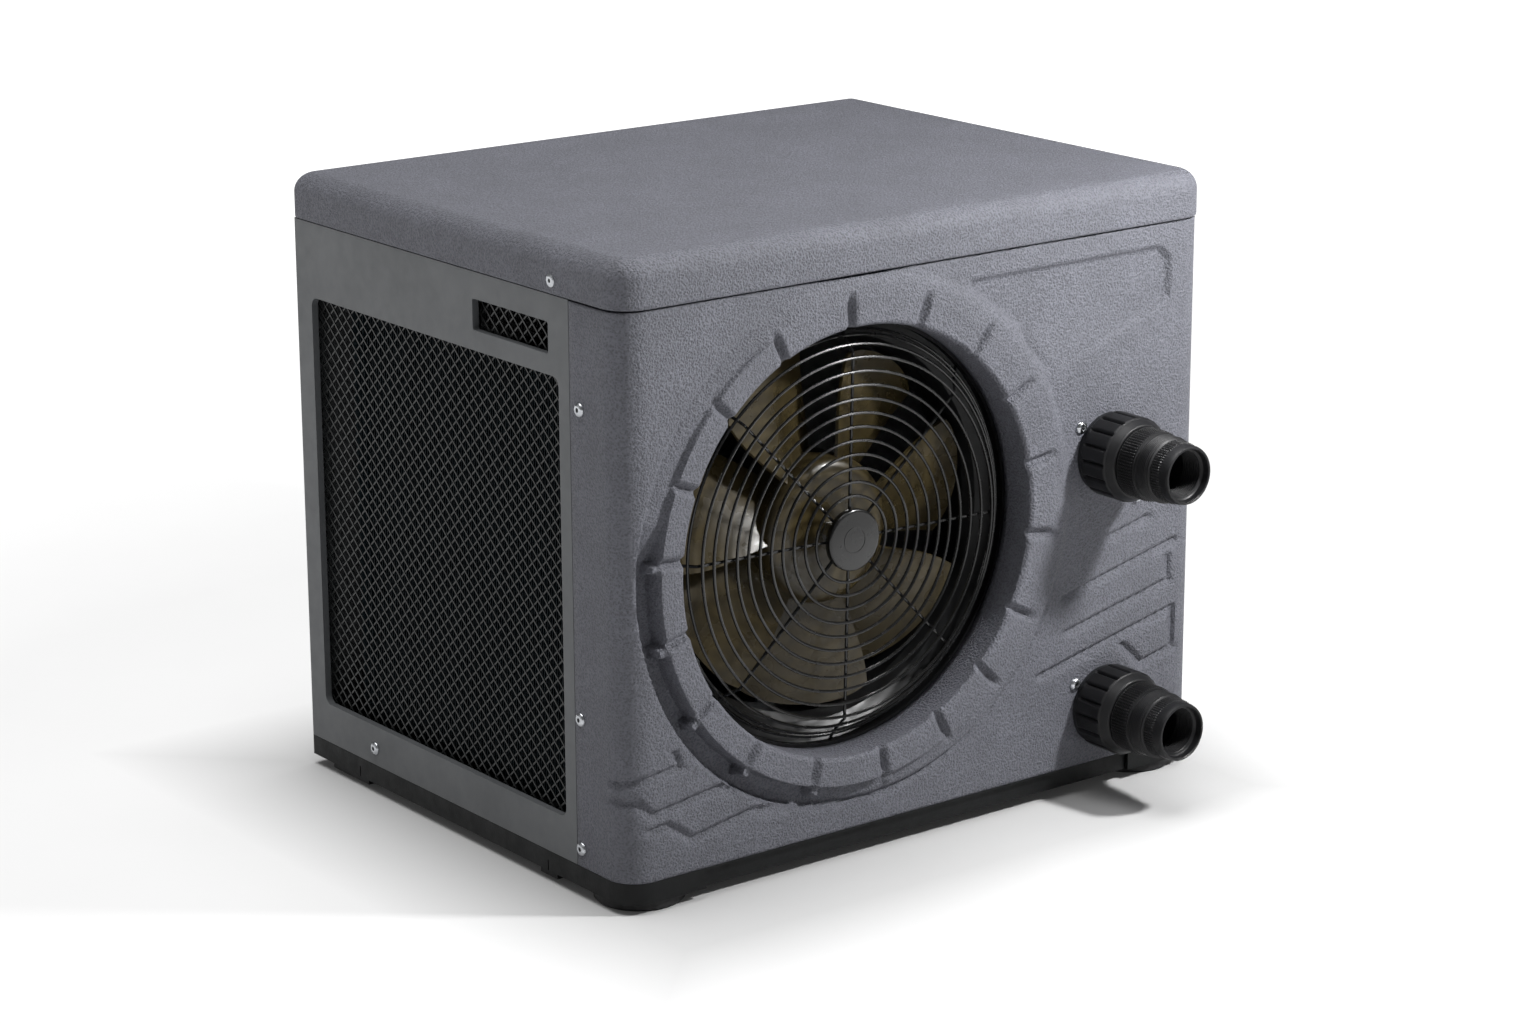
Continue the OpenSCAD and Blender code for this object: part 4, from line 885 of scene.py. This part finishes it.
def fasteners():
    low_z, high_z, rear_x = 31.7, SEAM_Z - 12, HALF_W - CORNER_R - 8
    heads, shade_plugs = Shape(), Shape()
    for y, z in ((42, 305), (46, 114), (47, low_z), (280, low_z)):
        for s in (-1, 1):
            rivet_at(heads, shade_plugs, (s * HALF_W, FRONT + y, z), (s, 0, 0), 4.3, 2.0)
    for s in (-1, 1):
        rivet_at(heads, shade_plugs, (s * (HALF_W + 1), FRONT + 68, SEAM_Z + 8.5), (s, 0, 0), 4.0, 1.0)
        for z in (low_z, 140, 249, high_z):
            rivet_at(heads, shade_plugs, (s * rear_x, BACK, z), (0, 1, 0), 4.3, 2.0)
    for x in (-70, 80):
        for z in (low_z, high_z):
            rivet_at(heads, shade_plugs, (x, BACK - 1.3, z), (0, 1, 0), 4.3, 2.0)
    build("rivet_heads", heads, "bright_steel", "casing", ["casing_rivets"])
    # the dark rivet stems are partly the real stems and partly painted shade in the holes
    build("rivet_stem_shade", shade_plugs, "cover_black", "casing")
    heads, shade_plugs = Shape(), Shape()
    for x, z, r in ((125, 226, 4.3), (124, 56, 4.3), (174, 172, 3.2)):
        rivet_at(heads, shade_plugs, (x, FRONT, BASE_Z + z), (0, -1, 0), r, 2.6)
    build("screw_heads", heads, "bright_steel", "casing", ["front_screws"])
    # the dark screw recesses are painted shade
    build("screw_recess_shade", shade_plugs, "cover_black", "casing")


fasteners()


# ---------- soft edges on the CAD nodes that stay ----------

# bevel widths in millimetres
BEVELS = {"base_pan": 0.9, "rubber_feet": 0.8, "left_side_panel": 0.35, "right_side_panel": 0.35,
          "rear_panel": 0.35, "display_bezel": 0.3, "display_window": 0.15, "cable_gland": 0.4,
          "fan_hub_nut": 0.4, "fan_motor": 0.5, "fan_motor_bracket": 0.3, "power_button": 0.3,
          "mode_button": 0.3, "up_button": 0.3, "down_button": 0.3, "control_box": 0.3,
          "compressor_terminal_cover": 0.8, "flow_switch": 0.6}
for name, width in BEVELS.items():
    mod = nodes[name].modifiers.new("edge", "BEVEL")
    mod.width, mod.segments, mod.harden_normals = width * 0.001, 2, False
    mod.limit_method, mod.angle_limit = "ANGLE", math.radians(40)


# ---------- floor, light and camera ----------

def floor():
    """White ground that glows with distance, and keeps a soft shadow close round the base."""
    m = Nodes("floor_white")
    m.colour(m.mix(m.span(m.noise(3, 3.0), 0.3, 0.7, 0.0, 1.0), (0.45, 0.45, 0.45, 1), (0.47, 0.47, 0.47, 1)))
    m.rough(m.span(m.noise(40, 2.0), 0.3, 0.7, 0.7, 0.8))
    reach = m.node("ShaderNodeVectorMath", operation="LENGTH")
    m.link(m.coords, reach.inputs[0])
    split = m.node("ShaderNodeSeparateXYZ")
    m.link(m.coords, split.inputs[0])
    gap_x = m.math("SUBTRACT", m.math("ABSOLUTE", split.outputs[0], 0.0), HALF_W * 0.001)
    gap_y = m.math("SUBTRACT", m.math("ABSOLUTE", split.outputs[1], 0.0), BACK * 0.001)
    near = m.span(m.math("MAXIMUM", gap_x, gap_y), 0.0, 0.11, 0.02, 0.36)
    glow = m.math("ADD", near, m.span(reach.outputs["Value"], 0.6, 2.4, 0.0, 0.65))
    m.link(glow, m.shader.inputs["Emission Strength"])
    m.set(Emission_Color=(1.0, 1.0, 1.0, 1.0))
    bpy.ops.mesh.primitive_plane_add(size=30, location=(0, 0, 0))
    ob = bpy.context.object
    ob.name = "floor"
    ob.data.materials.append(m.mat)


floor()

world = bpy.data.worlds.new("studio")
scene.world = world
world.use_nodes = True
world.node_tree.nodes["Background"].inputs[0].default_value = (1.0, 1.0, 1.0, 1)
world.node_tree.nodes["Background"].inputs[1].default_value = 0.13


def area_light(name, towards, distance, size, energy):
    """A square light that looks at the middle of the unit from a direction."""
    data = bpy.data.lights.new(name, "AREA")
    data.shape, data.size, data.energy = "SQUARE", size, energy
    ob = bpy.data.objects.new(name, data)
    d = Vector(towards).normalized()
    ob.location = Vector((0, 0, 0.2)) + d * distance
    ob.rotation_mode = "QUATERNION"
    ob.rotation_quaternion = d.to_track_quat("Z", "Y")
    scene.collection.objects.link(ob)


area_light("key", (0.355, -0.597, 0.454), 0.83, 0.08, 9.4)
area_light("fill", (-1.0, 0.4, 0.35), 3.0, 2.0, 4)
area_light("top", (-0.1, 0.1, 1.0), 3.0, 2.4, 132)

scene.view_settings.view_transform = "Standard"

# metres and degrees; the azimuth is measured from straight ahead of the front
CAMERA_AT, CAMERA_LENS = (-1.4722, -1.9032, 0.8585), 90.68
AZIMUTH, ELEVATION, ROLL = -37.57, 15.77, -0.19


def camera():
    data = bpy.data.cameras.new("camera")
    data.sensor_width, data.lens = 36.0, CAMERA_LENS
    data.clip_start, data.clip_end = 0.05, 60
    ob = bpy.data.objects.new("camera", data)
    scene.collection.objects.link(ob)
    scene.camera = ob
    az, el, roll = (math.radians(a) for a in (AZIMUTH, ELEVATION, ROLL))
    back = Vector((math.sin(az) * math.cos(el), -math.cos(az) * math.cos(el), math.sin(el)))
    level = Vector((math.cos(az), math.sin(az), 0))
    up = back.cross(level)
    right_r = math.cos(roll) * level + math.sin(roll) * up
    up_r = -math.sin(roll) * level + math.cos(roll) * up
    turn = Matrix((right_r, up_r, back)).transposed().to_4x4()
    ob.matrix_world = Matrix.Translation(CAMERA_AT) @ turn


camera()
